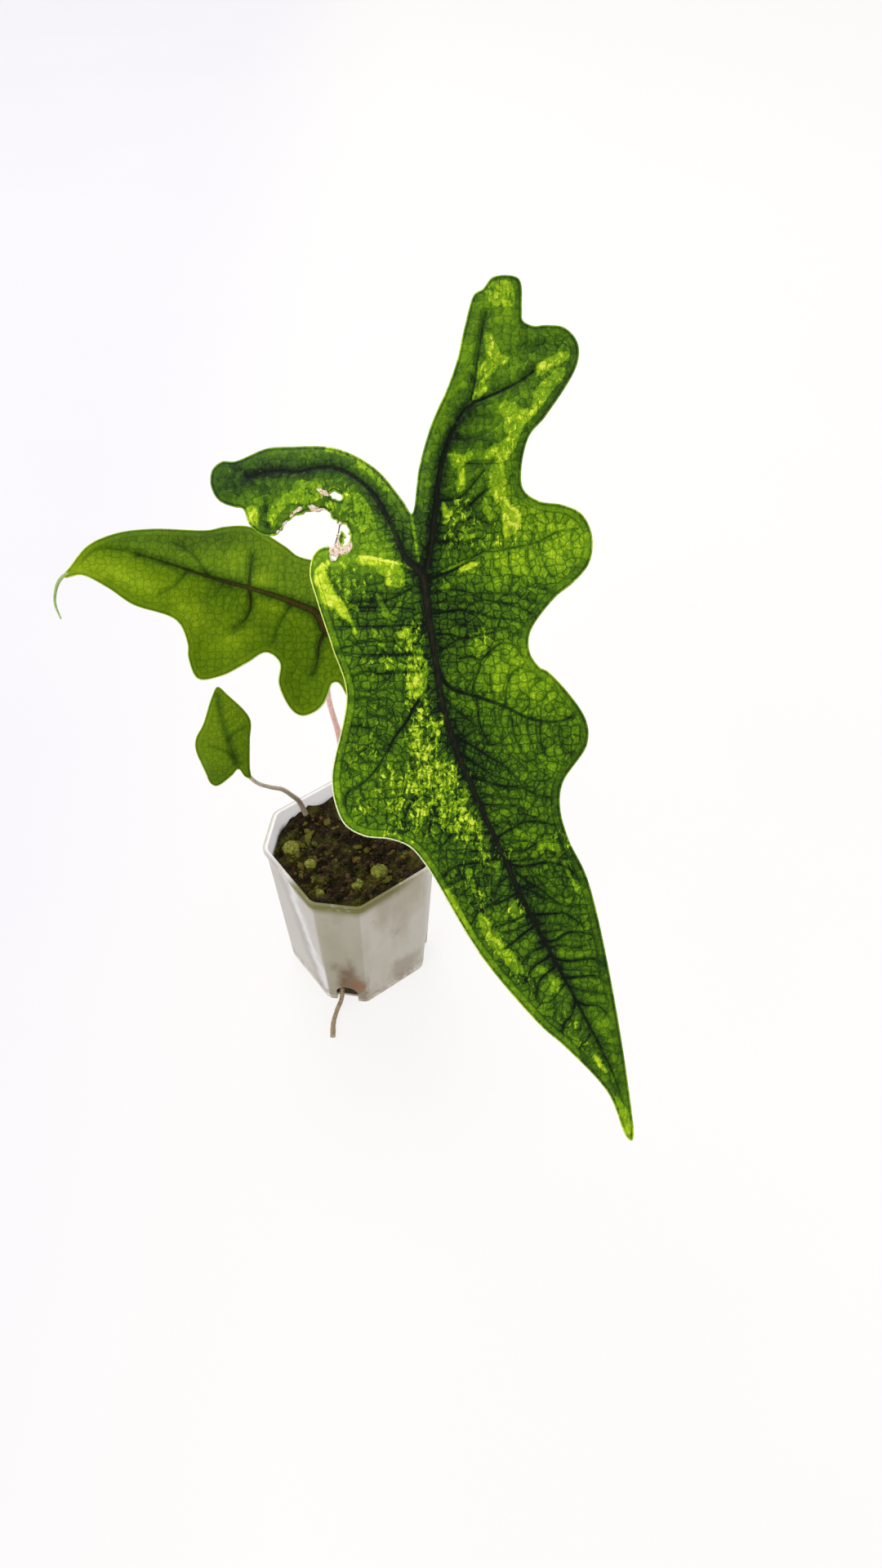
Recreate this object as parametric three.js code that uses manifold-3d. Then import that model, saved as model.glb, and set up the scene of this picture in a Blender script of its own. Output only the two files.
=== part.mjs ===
// A young lobed alocasia in a small square nursery pot: three leaves on their stalks, the stem they grow
// from, the potting mix with its moss, and one root that has found its way out of a drain slot.
// Millimetres, +Z up, origin at the middle of the pot's base, +Y away from the viewer.
import * as THREE from "three";
import { mergeVertices } from "three/addons/utils/BufferGeometryUtils.js";
import Module from "manifold-3d";

const wasm = await Module();
wasm.setup();

// Driving sizes of the pot
const POT_MOUTH = 60; // side of the square mouth, over the lip
const POT_BASE = 51.2; // side of the square base
const POT_HEIGHT = 72.5;
const POT_CORNER = 13.3; // leg of the cut-off corner at the mouth
const POT_WALL = 0.9;
const POT_FLOOR = 1.2;
const POT_TURN = THREE.MathUtils.degToRad(-52.8); // one cut corner faces the viewer
const LIP_OUT = 0.8;
const LIP_DEEP = 2.6;
const LIP_SLOPE = 0.5; // height over which the wall steps out to the lip
const FOOT_CHAMFER = 0.8;
const FLOOR_TURN = 1; // turn from the wall into the floor, inside
const CORNER_ROUNDING = 3;
const SLOT_WIDTH = 9;
const SLOT_TALL = 11;
const SLOT_REACH = 2.6; // how far a drain slot runs in under the floor
const PAST = 1; // how far a cut runs past the face that it opens

// Driving sizes of the filling and of the plant
const CLEAR = 0.3; // gap between pieces that touch
const SOIL_LEVEL = 63;
const SOIL_CROWN = 2.5; // rise of the mix towards the stem
const SOIL_LUMP = 0.9;
const SOIL_CELL = 3.6;
const CHIPS = 44; // bits of bark that stand out of the mix
const CHIP_FIELD = 27; // radius of the round field they lie in
const CHIP_LEAST = 1.3; // radius of the smallest
const CHIP_SPREAD = 1.6; // what the largest has over it
const CHIP_LIFT = 0.25;
const LEAF_THICK = 0.7;
const RIB_SINK = 0.35; // a rib lies this far below the upper face
const RIB_RISE = 0.7; // and stands this far out of the lower one
const RIB_HALF = 1.1; // half its width
const BLADE_CELL = 3.5; // spacing of the points inside a large blade
const YOUNG_CELL = 2.4; // and inside the young one

// Where the plant was measured from. A blade's outline is as seen from here, in the plane through its
// stalk that faces this point, and any bend of the blade moves a point along its own line of sight.
const EYE = new THREE.Vector3(34.9, -287.7, 427.5);
const LOOK_DOWN = THREE.MathUtils.degToRad(48.3);
const AHEAD = new THREE.Vector3(0, Math.cos(LOOK_DOWN), -Math.sin(LOOK_DOWN));
const UPWARD = new THREE.Vector3(0, Math.sin(LOOK_DOWN), Math.cos(LOOK_DOWN));

// A seeded draw, so that every build is alike
function draws(seed) {
  let state = seed;
  return () => {
    state = (Math.imul(state, 1664525) + 1013904223) >>> 0;
    return state / 2 ** 32;
  };
}

const smooth = THREE.MathUtils.smoothstep;

// Joins and cuts
function solidOf(geometry) {
  const bare = geometry.index ? geometry.toNonIndexed() : geometry.clone();
  for (const name of Object.keys(bare.attributes)) {
    if (name !== "position") bare.deleteAttribute(name);
  }
  const merged = mergeVertices(bare, 1e-4);
  return new wasm.Manifold(
    new wasm.Mesh({
      numProp: 3,
      vertProperties: merged.attributes.position.array,
      triVerts: new Uint32Array(merged.index.array),
    }),
  );
}

function geometryOf(solid) {
  const mesh = solid.getMesh();
  const places = new Float32Array(mesh.numVert * 3);
  for (let i = 0; i < mesh.numVert; i++) {
    places.set(mesh.vertProperties.subarray(i * mesh.numProp, i * mesh.numProp + 3), i * 3);
  }
  const geometry = new THREE.BufferGeometry();
  geometry.setAttribute("position", new THREE.BufferAttribute(places, 3));
  geometry.setIndex(new THREE.BufferAttribute(mesh.triVerts, 1));
  return geometry;
}

function closedMesh(points, faces) {
  const geometry = new THREE.BufferGeometry().setFromPoints(points);
  geometry.setIndex(faces.flat());
  return geometry;
}

// Rings of equal count, lowest first, joined into one closed body
function lofted(rings) {
  const count = rings[0].length;
  const points = rings.flat();
  const faces = [];
  for (let r = 0; r + 1 < rings.length; r++) {
    for (let i = 0; i < count; i++) {
      const a = r * count + i;
      const b = r * count + ((i + 1) % count);
      faces.push([a, b, b + count], [a, b + count, a + count]);
    }
  }
  for (const [first, flip] of [[0, true], [(rings.length - 1) * count, false]]) {
    const middle = new THREE.Vector3();
    for (let i = 0; i < count; i++) middle.addScaledVector(points[first + i], 1 / count);
    const hub = points.push(middle) - 1;
    for (let i = 0; i < count; i++) {
      const a = first + i;
      const b = first + ((i + 1) % count);
      faces.push(flip ? [hub, b, a] : [hub, a, b]);
    }
  }
  return closedMesh(points, faces);
}

// A tapered stalk: rings set square to a smooth curve, drawn in a little at both ends. extra widens it and
// lengthens its foot, which makes the hole that it stands in.
const STALK_SIDES = 8;
const STALK_STEPS = 22;
const END_SHARE = 0.55;

function stalk(route, widths, extra = 0, sides = STALK_SIDES, steps = STALK_STEPS) {
  const through = route.map((p) => new THREE.Vector3(...p));
  through[0].addScaledVector(through[1].clone().sub(through[0]).normalize(), -extra);
  const curve = new THREE.CatmullRomCurve3(through);
  const frames = curve.computeFrenetFrames(steps, false);
  const radiusAt = (t) => {
    const place = t * (widths.length - 1);
    const k = Math.min(Math.floor(place), widths.length - 2);
    return THREE.MathUtils.lerp(widths[k], widths[k + 1], place - k) / 2 + extra;
  };
  const rings = [];
  for (let s = 0; s <= steps; s++) {
    const centre = curve.getPointAt(s / steps);
    const radius = radiusAt(s / steps);
    const inward = s === 0 || s === steps ? END_SHARE : 1;
    const ring = [];
    for (let k = 0; k < sides; k++) {
      const turn = (2 * Math.PI * k) / sides;
      ring.push(
        centre
          .clone()
          .addScaledVector(frames.normals[s], radius * inward * Math.cos(turn))
          .addScaledVector(frames.binormals[s], radius * inward * Math.sin(turn)),
      );
    }
    rings.push(ring);
  }
  return lofted(rings);
}

// The pot's section at one height: a square with cut corners, each turn slightly rounded
function potSection(half, z) {
  const leg = (POT_CORNER * half * 2) / POT_MOUTH;
  const corners = [];
  for (let quarter = 0; quarter < 4; quarter++) {
    const turn = (quarter * Math.PI) / 2;
    for (const [x, y] of [[half - leg, -half], [half, -half + leg]]) {
      corners.push(new THREE.Vector2(x, y).rotateAround(new THREE.Vector2(), turn + POT_TURN));
    }
  }
  const ring = [];
  corners.forEach((corner, i) => {
    const before = corners[(i + 7) % 8].clone().sub(corner).setLength(CORNER_ROUNDING / 2);
    const after = corners[(i + 1) % 8].clone().sub(corner).setLength(CORNER_ROUNDING / 2);
    const round = new THREE.QuadraticBezierCurve(
      corner.clone().add(before), corner, corner.clone().add(after));
    ring.push(...round.getPoints(2).map((p) => new THREE.Vector3(p.x, p.y, z)));
  });
  return ring;
}

const wallHalf = (z) =>
  (POT_BASE + ((POT_MOUTH - 2 * LIP_OUT - POT_BASE) * z) / POT_HEIGHT) / 2;

function drainSlot(quarter) {
  const half = SLOT_WIDTH / 2;
  const spring = SLOT_TALL - half;
  const arch = new THREE.Shape();
  arch.moveTo(-half, -PAST);
  arch.lineTo(half, -PAST);
  arch.lineTo(half, spring);
  arch.absarc(0, spring, half, 0, Math.PI, false);
  arch.lineTo(-half, -PAST);
  const leaning = (POT_MOUTH - POT_BASE) / 2; // the wall stands out by less than this at the slot's top
  const deep = SLOT_REACH + leaning + PAST;
  const slot = new THREE.ExtrudeGeometry(arch, { depth: deep, bevelEnabled: false, curveSegments: 8 });
  const leg = (POT_CORNER * POT_BASE) / POT_MOUTH;
  const face = (POT_BASE - leg) / Math.SQRT2;
  slot.rotateX(Math.PI / 2);
  slot.translate(0, -(face - SLOT_REACH), 0);
  slot.rotateZ(POT_TURN + Math.PI / 4 + (quarter * Math.PI) / 2);
  return slot;
}

function makePot() {
  const top = wallHalf(POT_HEIGHT);
  const lipFoot = POT_HEIGHT - LIP_DEEP;
  const outside = lofted([
    potSection(wallHalf(0) - FOOT_CHAMFER, 0),
    potSection(wallHalf(FOOT_CHAMFER), FOOT_CHAMFER),
    potSection(wallHalf(lipFoot), lipFoot),
    potSection(top + LIP_OUT, lipFoot + LIP_SLOPE),
    potSection(top + LIP_OUT, POT_HEIGHT),
  ]);
  const inside = lofted([
    potSection(wallHalf(POT_FLOOR) - POT_WALL - FLOOR_TURN, POT_FLOOR),
    potSection(wallHalf(POT_FLOOR + FLOOR_TURN) - POT_WALL, POT_FLOOR + FLOOR_TURN),
    potSection(wallHalf(POT_HEIGHT + PAST) - POT_WALL, POT_HEIGHT + PAST),
  ]);
  let pot = solidOf(outside).subtract(solidOf(inside));
  for (let quarter = 0; quarter < 4; quarter++) pot = pot.subtract(solidOf(drainSlot(quarter)));
  return pot;
}

// Blades. Outlines, holes and ribs are in millimetres from the point where the stalk joins the blade, as
// seen from the eye: x to the right and y up across the line of sight.
const LEAF_1 = {
  distance: 288.6,
  join: [-4.4, 51.4], // the joint's place across the line of sight, from the middle of the view
  seat: [0.4, -1.2], // where the stalk meets the underside
  outline: [
    [-2.8, 14.8], [-1, 26], [2, 36.6], [5.8, 45.2], [8.4, 52.6], [10.2, 60.6], [12.6, 68.6], [14.6, 69.8],
    [17.2, 72.8], [23.4, 72.4], [24.2, 64.8], [24.4, 62.2], [27, 60.8], [29.8, 61], [34.6, 60.4],
    [37.8, 56.8], [37.8, 51.6], [30.2, 39], [25.8, 33.4], [24.4, 21.2], [28.2, 18], [34, 17],
    [38.8, 14.8], [41.4, 9.4], [40.8, 3], [36.8, -2], [32.2, -5.8], [26.2, -14.4], [26.2, -19.2],
    [28.6, -22.8], [30.8, -24], [39.8, -35.4], [40.2, -41.6], [34.2, -51.2], [33.6, -57.2], [35.6, -64.8],
    [40.4, -75], [49.6, -120.6], [51.2, -138.8], [49.8, -137.8], [45.4, -127.2], [34.8, -115.8],
    [28.8, -110.6], [13.4, -92.4], [0.4, -71], [-3.4, -66.8], [-8, -65], [-14.4, -64.2], [-19, -61.6],
    [-21.4, -56.8], [-22.4, -49.6], [-18.8, -29.4], [-22.2, -18.2], [-26.2, -6], [-27.8, 0.4], [-26.6, 5],
    [-24.2, 6.8], [-19.4, 5.4], [-18, 6.8], [-17.6, 8.8], [-18.4, 10.6], [-19, 12.4], [-21, 12.2],
    [-23.8, 15.8], [-25.8, 15.4], [-32.4, 13.4], [-34.6, 11.2], [-35.8, 10.6], [-36.6, 9.8], [-39.8, 9.8],
    [-42.4, 12], [-44.2, 16], [-46.2, 16.4], [-50, 18], [-52, 21.8], [-51.6, 25.6], [-49.2, 27.6],
    [-46.2, 27.6], [-38.2, 30.8], [-32.6, 31.2], [-21.4, 30.8], [-11.6, 25.8], [-5.2, 18.2],
  ],
  holes: [
    [[-23.2, 20.2], [-21.4, 19.9], [-19.8, 18.9], [-19.9, 18.1], [-21.8, 18.4], [-23.4, 19.4]],
  ],
  ribs: [
    [[0, 0], [0.8, -6.6], [1.6, -11.6], [3.2, -21.8], [4.6, -31.4], [9, -45.2], [17.6, -64.8], [25.4, -81.8],
      [35.4, -100.6], [47, -123.4], [50, -134]],
    [[1.2, 2], [2, 10], [3.6, 24.4], [6.8, 34.4], [11, 40.8], [16.4, 44.4], [24.4, 48.8], [28.6, 51.6]],
    [[11, 40.8], [13, 46.8], [13.8, 55.2], [15.8, 63.8]],
    [[2.6, -0.2], [8.4, 2], [19, 6.2], [29.8, 9.2], [39.4, 11.8]],
    [[-0.6, 0], [-4.4, 5], [-7.4, 12.8], [-12, 20], [-18.4, 25.2], [-25.8, 26.6], [-36.8, 24.2], [-47, 23.8]],
    [[4.8, -25.4], [9, -28.6], [16, -31], [24.2, -34], [32.2, -36.2], [36.8, -35]],
    [[1.6, -27.8], [-5.2, -36.4], [-9.4, -44], [-13.4, -50.2], [-18.2, -54.8]],
    [[11.6, -50.4], [21, -52.2], [31.2, -55.2]],
    [[18.8, -64.2], [26, -60.4], [31.8, -61]],
    [[17.8, -70.4], [9.6, -71.2], [5.4, -72.8]],
  ],
  // Height towards the eye: the tip hangs, the left basal lobe bends far back, the halves fall away from
  // the midrib, and the margin waves down in the lobes and up between them.
  height(x, y) {
    const down = Math.max(0, -y);
    const bend = 6 * Math.log(1 + Math.exp((down - 38) / 6)); // the midrib turns aside some way down
    const midrib = y < 0 ? 0.147 * down + 0.33 * bend : 0.05 * y;
    const across = x - midrib;
    const reach = Math.hypot(x, y);
    const tip = -14 * (down / 139) ** 2;
    const left = smooth(-x, -4, 8) * smooth(y, -8, 12);
    const right = smooth(x, -3, 6) * smooth(y, 0, 20);
    const lobes = -31 * left * (reach / 58) ** 1.7 - 8 * right * (reach / 75) ** 2;
    const fold = across < 0 ? -9 * (1 - Math.exp(across / 22)) : -4.5 * (1 - Math.exp(-across / 26));
    const edge = Math.min(1, Math.abs(across) / 32) ** 2;
    const beat = Math.cos(2 * Math.PI * (across < 0 ? (y + 52) / 50 : (y - 10) / 47));
    return tip + lobes + fold - 2.3 * edge * beat * smooth(y, -100, -60);
  },
};

const LEAF_2 = {
  distance: 361,
  join: [-35.5, 46],
  seat: [-0.6, 0.4],
  outline: [
    [-80.2, 18], [-78.5, 20.2], [-72.8, 27], [-64.2, 30.8], [-53.2, 32.2], [-35.8, 31.8], [-31, 32.8],
    [-23, 32.8], [-12.2, 26.8], [-8.2, 23.8], [0.5, 22.2], [6.8, 22.8], [18.5, 20.5], [22.5, 18],
    [23.5, 15], [21.5, 12.2], [7.5, 6.5], [3, 2], [9.5, -2.5], [16.5, -11.5], [18, -17.5], [16.5, -23],
    [13.5, -26], [10, -25], [4, -15], [2.2, -15.2], [1, -18.2], [-0.5, -21.5], [-3.2, -24], [-7, -25.2],
    [-10.2, -23.5], [-14.2, -15.5], [-14, -8.8], [-18, -5.8], [-24, -9], [-31.8, -13], [-39, -13.8],
    [-42, -7.2], [-42.2, -3.2], [-45.5, 4], [-59, 9], [-66.8, 14.2], [-74.8, 18], [-79.8, 17.2],
  ],
  holes: [],
  ribs: [
    [[0, 0], [-2.5, 6.2], [-7, 8.5], [-20, 13.2], [-33.7, 17], [-49.2, 22], [-59.7, 25], [-69.5, 26],
      [-76, 21.5]],
    [[-23.2, 14.2], [-22.8, 20.2], [-21.8, 26]],
    [[-23.2, 14.2], [-22.8, 8.5], [-24.5, 4.5], [-30, 0]],
    [[0, 0.8], [-1.8, -3.2], [-2.5, -8.5], [-5, -16]],
    [[0.8, 0.4], [6, -6], [11, -16]],
  ],
  // The far half falls away behind the midrib, the near half almost faces the eye, and the tip hangs.
  height(x, y) {
    const midrib = 3.2 - 0.31 * x + 3.2 * Math.tanh((-x - 2) / 2.5);
    const across = (y - midrib) * 0.94;
    const far = across > 0 ? -1.45 * (Math.hypot(across, 2.5) - 2.5) : 0;
    const near = across < 0 ? -0.0035 * across ** 2 - 0.06 * Math.abs(across) : 0;
    const tip = -12 * (Math.max(0, -x - 34) / 46) ** 2;
    const beat = across < 0 ? Math.cos((Math.PI * (x + 36)) / 15) : 0.4 * Math.cos((Math.PI * (x + 30)) / 17);
    return far + near + tip - 2 * beat * Math.min(1, Math.abs(across) / 24) ** 2;
  },
};

const LEAF_3 = {
  distance: 401,
  join: [-68.9, 5],
  seat: [-0.6, 2],
  outline: [
    [0, 0], [2.2, -2.5], [4.2, -3.1], [3.9, 0.6], [3.9, 10], [3.9, 17.2], [-3.6, 25.3], [-7.2, 28.1],
    [-9.2, 24.4], [-12.2, 15], [-14.4, 10.8], [-14.7, 7.2], [-11.1, -1.7], [-9.7, -4.7], [-7.5, -5.8],
    [-2.2, -2.2],
  ],
  holes: [],
  ribs: [[[-0.6, 2], [-3.4, 10], [-6, 19], [-7, 25]]],
  height(x, y) {
    const across = x + 1 + 0.24 * y;
    return -0.035 * across ** 2 - 5 * (Math.max(0, y) / 28) ** 2 - 0.18 * Math.max(0, -y);
  },
};

// A point of a blade in space
function bladePoint(leaf, x, y) {
  const flat = EYE.clone()
    .addScaledVector(AHEAD, leaf.distance)
    .addScaledVector(UPWARD, leaf.join[1] + y);
  flat.x += leaf.join[0] + x;
  return flat.lerp(EYE, leaf.height(x, y) / leaf.distance);
}

function bladeNormal(leaf, x, y) {
  const step = 0.2;
  const along = bladePoint(leaf, x + step, y).sub(bladePoint(leaf, x - step, y));
  const up = bladePoint(leaf, x, y + step).sub(bladePoint(leaf, x, y - step));
  return along.cross(up).normalize();
}

// The stem, and the stalks from their feet in it to the point just under each blade
const STEM = new THREE.Vector3(0.5, 12, 44); // the middle of its foot
const STEM_SIDES = 18;
// Radius and height above the foot: a rounded foot, then the papery collars of old leaf sheaths
const STEM_PROFILE = [[0, 0], [2.2, 0.6], [4.6, 3.5], [5.4, 8], [5.4, 13], [6, 15], [5.6, 16.4],
  [6, 18.2], [5.7, 20], [5.2, 20.5], [0, 20.5]];
const STEM_ROOM = [[0, 0], [2.6, 0.2], [5, 3], [6.3, 8], [6.3, 26], [0, 26]]; // its hole in the mix
const STALKS = {
  petiole_1: {
    route: [[2.4, 10.8, 57], [3.4, 10, 66], [12, 2, 110], [22, -10, 160], [28.3, -32, 208]],
    leaf: LEAF_1,
    widths: [4.6, 4.4, 4, 3.4, 3, 2.8],
    colour: 0x9c8a62,
  },
  petiole_2: {
    route: [[-2, 13.4, 57], [-2, 13.6, 66], [-1.5, 11.4, 96], [-1.5, 4.6, 125.4], [-2.6, -5.1, 154.2]],
    leaf: LEAF_2,
    widths: [3.4, 3, 2.4, 2, 1.8, 1.8],
    colour: 0xe8beac,
  },
  petiole_3: {
    route: [[-5.8, 13, 51.6], [-13, 14.6, 57], [-18.2, 16.4, 65], [-20.9, 17.2, 74], [-22.1, 9.6, 87],
      [-24.3, 3.5, 97.6], [-26.8, -6.4, 110.2], [-30, -14.6, 122.6]],
    leaf: LEAF_3,
    widths: [3, 2.6, 2.2, 2, 1.8, 1.7, 1.5, 1.4, 1.5],
    colour: 0xc4b6a2,
  },
};
const ROOT = {
  route: [[0.4, 11.4, 43.1], [-1.2, 7, 38], [-4.2, -2, 28], [-6.4, -15, 15], [-6.2, -23, 6.5],
    [-6.4, -28.5, 2.6], [-8, -33, 1.4], [-9.2, -39, 1.3], [-9.1, -45.5, 1.35]],
  widths: [2.6, 2.5, 2.4, 2.2, 2, 2, 1.9, 1.9, 2.3],
  colour: 0xb4a282,
};

function petiole({ route, leaf, widths }, extra = 0) {
  const gap = LEAF_THICK + RIB_RISE + 1.5 * CLEAR;
  const end = bladePoint(leaf, ...leaf.seat).addScaledVector(bladeNormal(leaf, ...leaf.seat), -gap);
  return solidOf(stalk([...route, end.toArray()], widths, extra));
}

function turnedAboutStem(profile, drop = 0) {
  const body = new THREE.LatheGeometry(profile.map(([r, z]) => new THREE.Vector2(r, z)), STEM_SIDES);
  body.rotateX(Math.PI / 2);
  body.translate(STEM.x, STEM.y, STEM.z - drop);
  return solidOf(body);
}

// The stem: a short corm, with a socket for each of the two large stalks
function makeStem() {
  let stem = turnedAboutStem(STEM_PROFILE);
  for (const socket of [STALKS.petiole_1, STALKS.petiole_2]) {
    stem = stem.subtract(petiole(socket, CLEAR));
  }
  return stem;
}

// Moss cushions on the mix, as places and widths read from above
const MOSS = [
  [-24.2, 2.2, 7.4], [11, -9, 7], [2.6, -15, 5.4], [-16, -5.6, 5], [-11.8, -19, 4.6], [19, 12, 6],
  [-5, 24, 5.6],
];

function soilHeight(x, y) {
  const away = Math.hypot(x - STEM.x, y - STEM.y);
  const crown = SOIL_CROWN * Math.exp(-((away / 14) ** 2));
  const bank = 3.2 * Math.exp(-(((x + 20) / 7) ** 2) - ((y - 17) / 7) ** 2);
  const lumps = Math.sin(x * 0.55 + 1.3) * Math.cos(y * 0.48) + 0.6 * Math.sin(x * 1.21 - y * 0.93);
  return SOIL_LEVEL + crown + bank + SOIL_LUMP * lumps;
}

const MOSS_FLAT = 0.62;
const MOSS_PERCH = 0.1; // how far its middle stands over the mix, as a share of its width

// A flattened ball with a few dents and swellings
function lump(width, seed) {
  const ball = new THREE.IcosahedronGeometry(1, 1);
  const place = ball.attributes.position;
  for (let i = 0; i < place.count; i++) {
    const p = new THREE.Vector3().fromBufferAttribute(place, i);
    const swell = 1 + 0.12 * Math.sin(p.x * 5 + seed) * Math.cos(p.y * 4 - seed) * Math.cos(p.z * 3);
    place.setXYZ(i, p.x * swell, p.y * swell, p.z * swell * MOSS_FLAT);
  }
  return ball.scale(width / 2, width / 2, width / 2);
}

function mossCushion(index, extra = 0) {
  const [x, y, width] = MOSS[index];
  const cushion = lump(width + (2 * extra) / MOSS_FLAT, index + 1);
  cushion.translate(x, y, soilHeight(x, y) + width * MOSS_PERCH);
  return cushion;
}

function makeSoil() {
  const wide = POT_MOUTH * 1.3; // the pot's room trims it
  const cells = Math.round(wide / SOIL_CELL);
  const ground = new THREE.BoxGeometry(wide, wide, POT_HEIGHT, cells, cells, 1);
  ground.translate(0, 0, POT_HEIGHT / 2);
  const place = ground.attributes.position;
  for (let i = 0; i < place.count; i++) {
    const level = place.getZ(i) > 0 ? soilHeight(place.getX(i), place.getY(i)) : 0;
    place.setZ(i, level);
  }
  let soil = solidOf(ground);
  const random = draws(11);
  for (let n = 0; n < CHIPS; n++) {
    const turn = random() * 2 * Math.PI;
    const out = CHIP_FIELD * Math.sqrt(random());
    const x = out * Math.cos(turn);
    const y = out * Math.sin(turn);
    const chip = new THREE.IcosahedronGeometry(CHIP_LEAST + CHIP_SPREAD * random());
    chip.scale(1, 0.7 + 0.3 * random(), 0.45 + 0.3 * random());
    chip.rotateX((random() - 0.5) * 1.2);
    chip.rotateZ(random() * 2 * Math.PI);
    chip.translate(x, y, soilHeight(x, y) + CHIP_LIFT);
    soil = soil.add(solidOf(chip));
  }
  const inset = POT_WALL + CLEAR;
  const foot = POT_FLOOR + CLEAR;
  const room = lofted([
    potSection(wallHalf(foot) - inset - FLOOR_TURN, foot),
    potSection(wallHalf(foot + FLOOR_TURN) - inset, foot + FLOOR_TURN),
    potSection(wallHalf(POT_HEIGHT + PAST) - inset, POT_HEIGHT + PAST),
  ]);
  soil = soil.intersect(solidOf(room));
  soil = soil.subtract(turnedAboutStem(STEM_ROOM, CLEAR));
  for (const hole of Object.values(STALKS)) soil = soil.subtract(petiole(hole, CLEAR));
  soil = soil.subtract(solidOf(stalk(ROOT.route, ROOT.widths, CLEAR)));
  MOSS.forEach((_, index) => {
    soil = soil.subtract(solidOf(mossCushion(index, CLEAR)));
  });
  return soil.decompose().sort((a, b) => b.volume() - a.volume())[0];
}

// A smooth closed line through measured points, in steps of about the given length
function smoothLoop(points, step) {
  const curve = new THREE.CatmullRomCurve3(
    points.map(([x, y]) => new THREE.Vector3(x, y, 0)), true, "centripetal");
  const loop = [];
  points.forEach(([x, y], i) => {
    const next = points[(i + 1) % points.length];
    const parts = Math.max(1, Math.round(Math.hypot(next[0] - x, next[1] - y) / step));
    for (let k = 0; k < parts; k++) {
      const p = curve.getPoint((i + k / parts) / points.length);
      loop.push(new THREE.Vector2(p.x, p.y));
    }
  });
  return THREE.ShapeUtils.area(loop) < 0 ? loop.reverse() : loop;
}

function insideLoop(loop, x, y) {
  let inside = false;
  loop.forEach((a, i) => {
    const b = loop[(i + 1) % loop.length];
    if (a.y > y !== b.y > y && x < a.x + ((b.x - a.x) * (y - a.y)) / (b.y - a.y)) inside = !inside;
  });
  return inside;
}

function lineDistance(line, x, y) {
  let least = Infinity;
  for (let i = 0; i + 1 < line.length; i++) {
    const [ax, ay] = line[i];
    const [bx, by] = line[i + 1];
    const t = THREE.MathUtils.clamp(
      ((x - ax) * (bx - ax) + (y - ay) * (by - ay)) / ((bx - ax) ** 2 + (by - ay) ** 2), 0, 1);
    least = Math.min(least, Math.hypot(x - ax - t * (bx - ax), y - ay - t * (by - ay)));
  }
  return least;
}

// Delaunay triangles of points in the plane, each counter-clockwise
function delaunay(points) {
  const far = 1e4;
  const frame = [[-far, -far], [far, -far], [0, far]].map(([x, y]) => new THREE.Vector2(x, y));
  const all = [...points, ...frame];
  const circle = (a, b, c) => {
    const [p, q, r] = [all[a], all[b], all[c]];
    const d = 2 * (p.x * (q.y - r.y) + q.x * (r.y - p.y) + r.x * (p.y - q.y));
    const [pp, qq, rr] = [p, q, r].map((v) => v.lengthSq());
    const x = (pp * (q.y - r.y) + qq * (r.y - p.y) + rr * (p.y - q.y)) / d;
    const y = (pp * (r.x - q.x) + qq * (p.x - r.x) + rr * (q.x - p.x)) / d;
    return { corners: [a, b, c], x, y, reach: (p.x - x) ** 2 + (p.y - y) ** 2 };
  };
  const n = points.length;
  let triangles = [circle(n, n + 1, n + 2)];
  points.forEach((point, index) => {
    const rim = new Map();
    const kept = [];
    for (const triangle of triangles) {
      const hit = (point.x - triangle.x) ** 2 + (point.y - triangle.y) ** 2 < triangle.reach;
      if (!hit) {
        kept.push(triangle);
        continue;
      }
      const [a, b, c] = triangle.corners;
      for (const [from, to] of [[a, b], [b, c], [c, a]]) {
        if (!rim.delete(`${to},${from}`)) rim.set(`${from},${to}`, [from, to]);
      }
    }
    for (const [from, to] of rim.values()) kept.push(circle(from, to, index));
    triangles = kept;
  });
  return triangles.map((t) => t.corners).filter((t) => t.every((i) => i < n));
}

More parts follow.
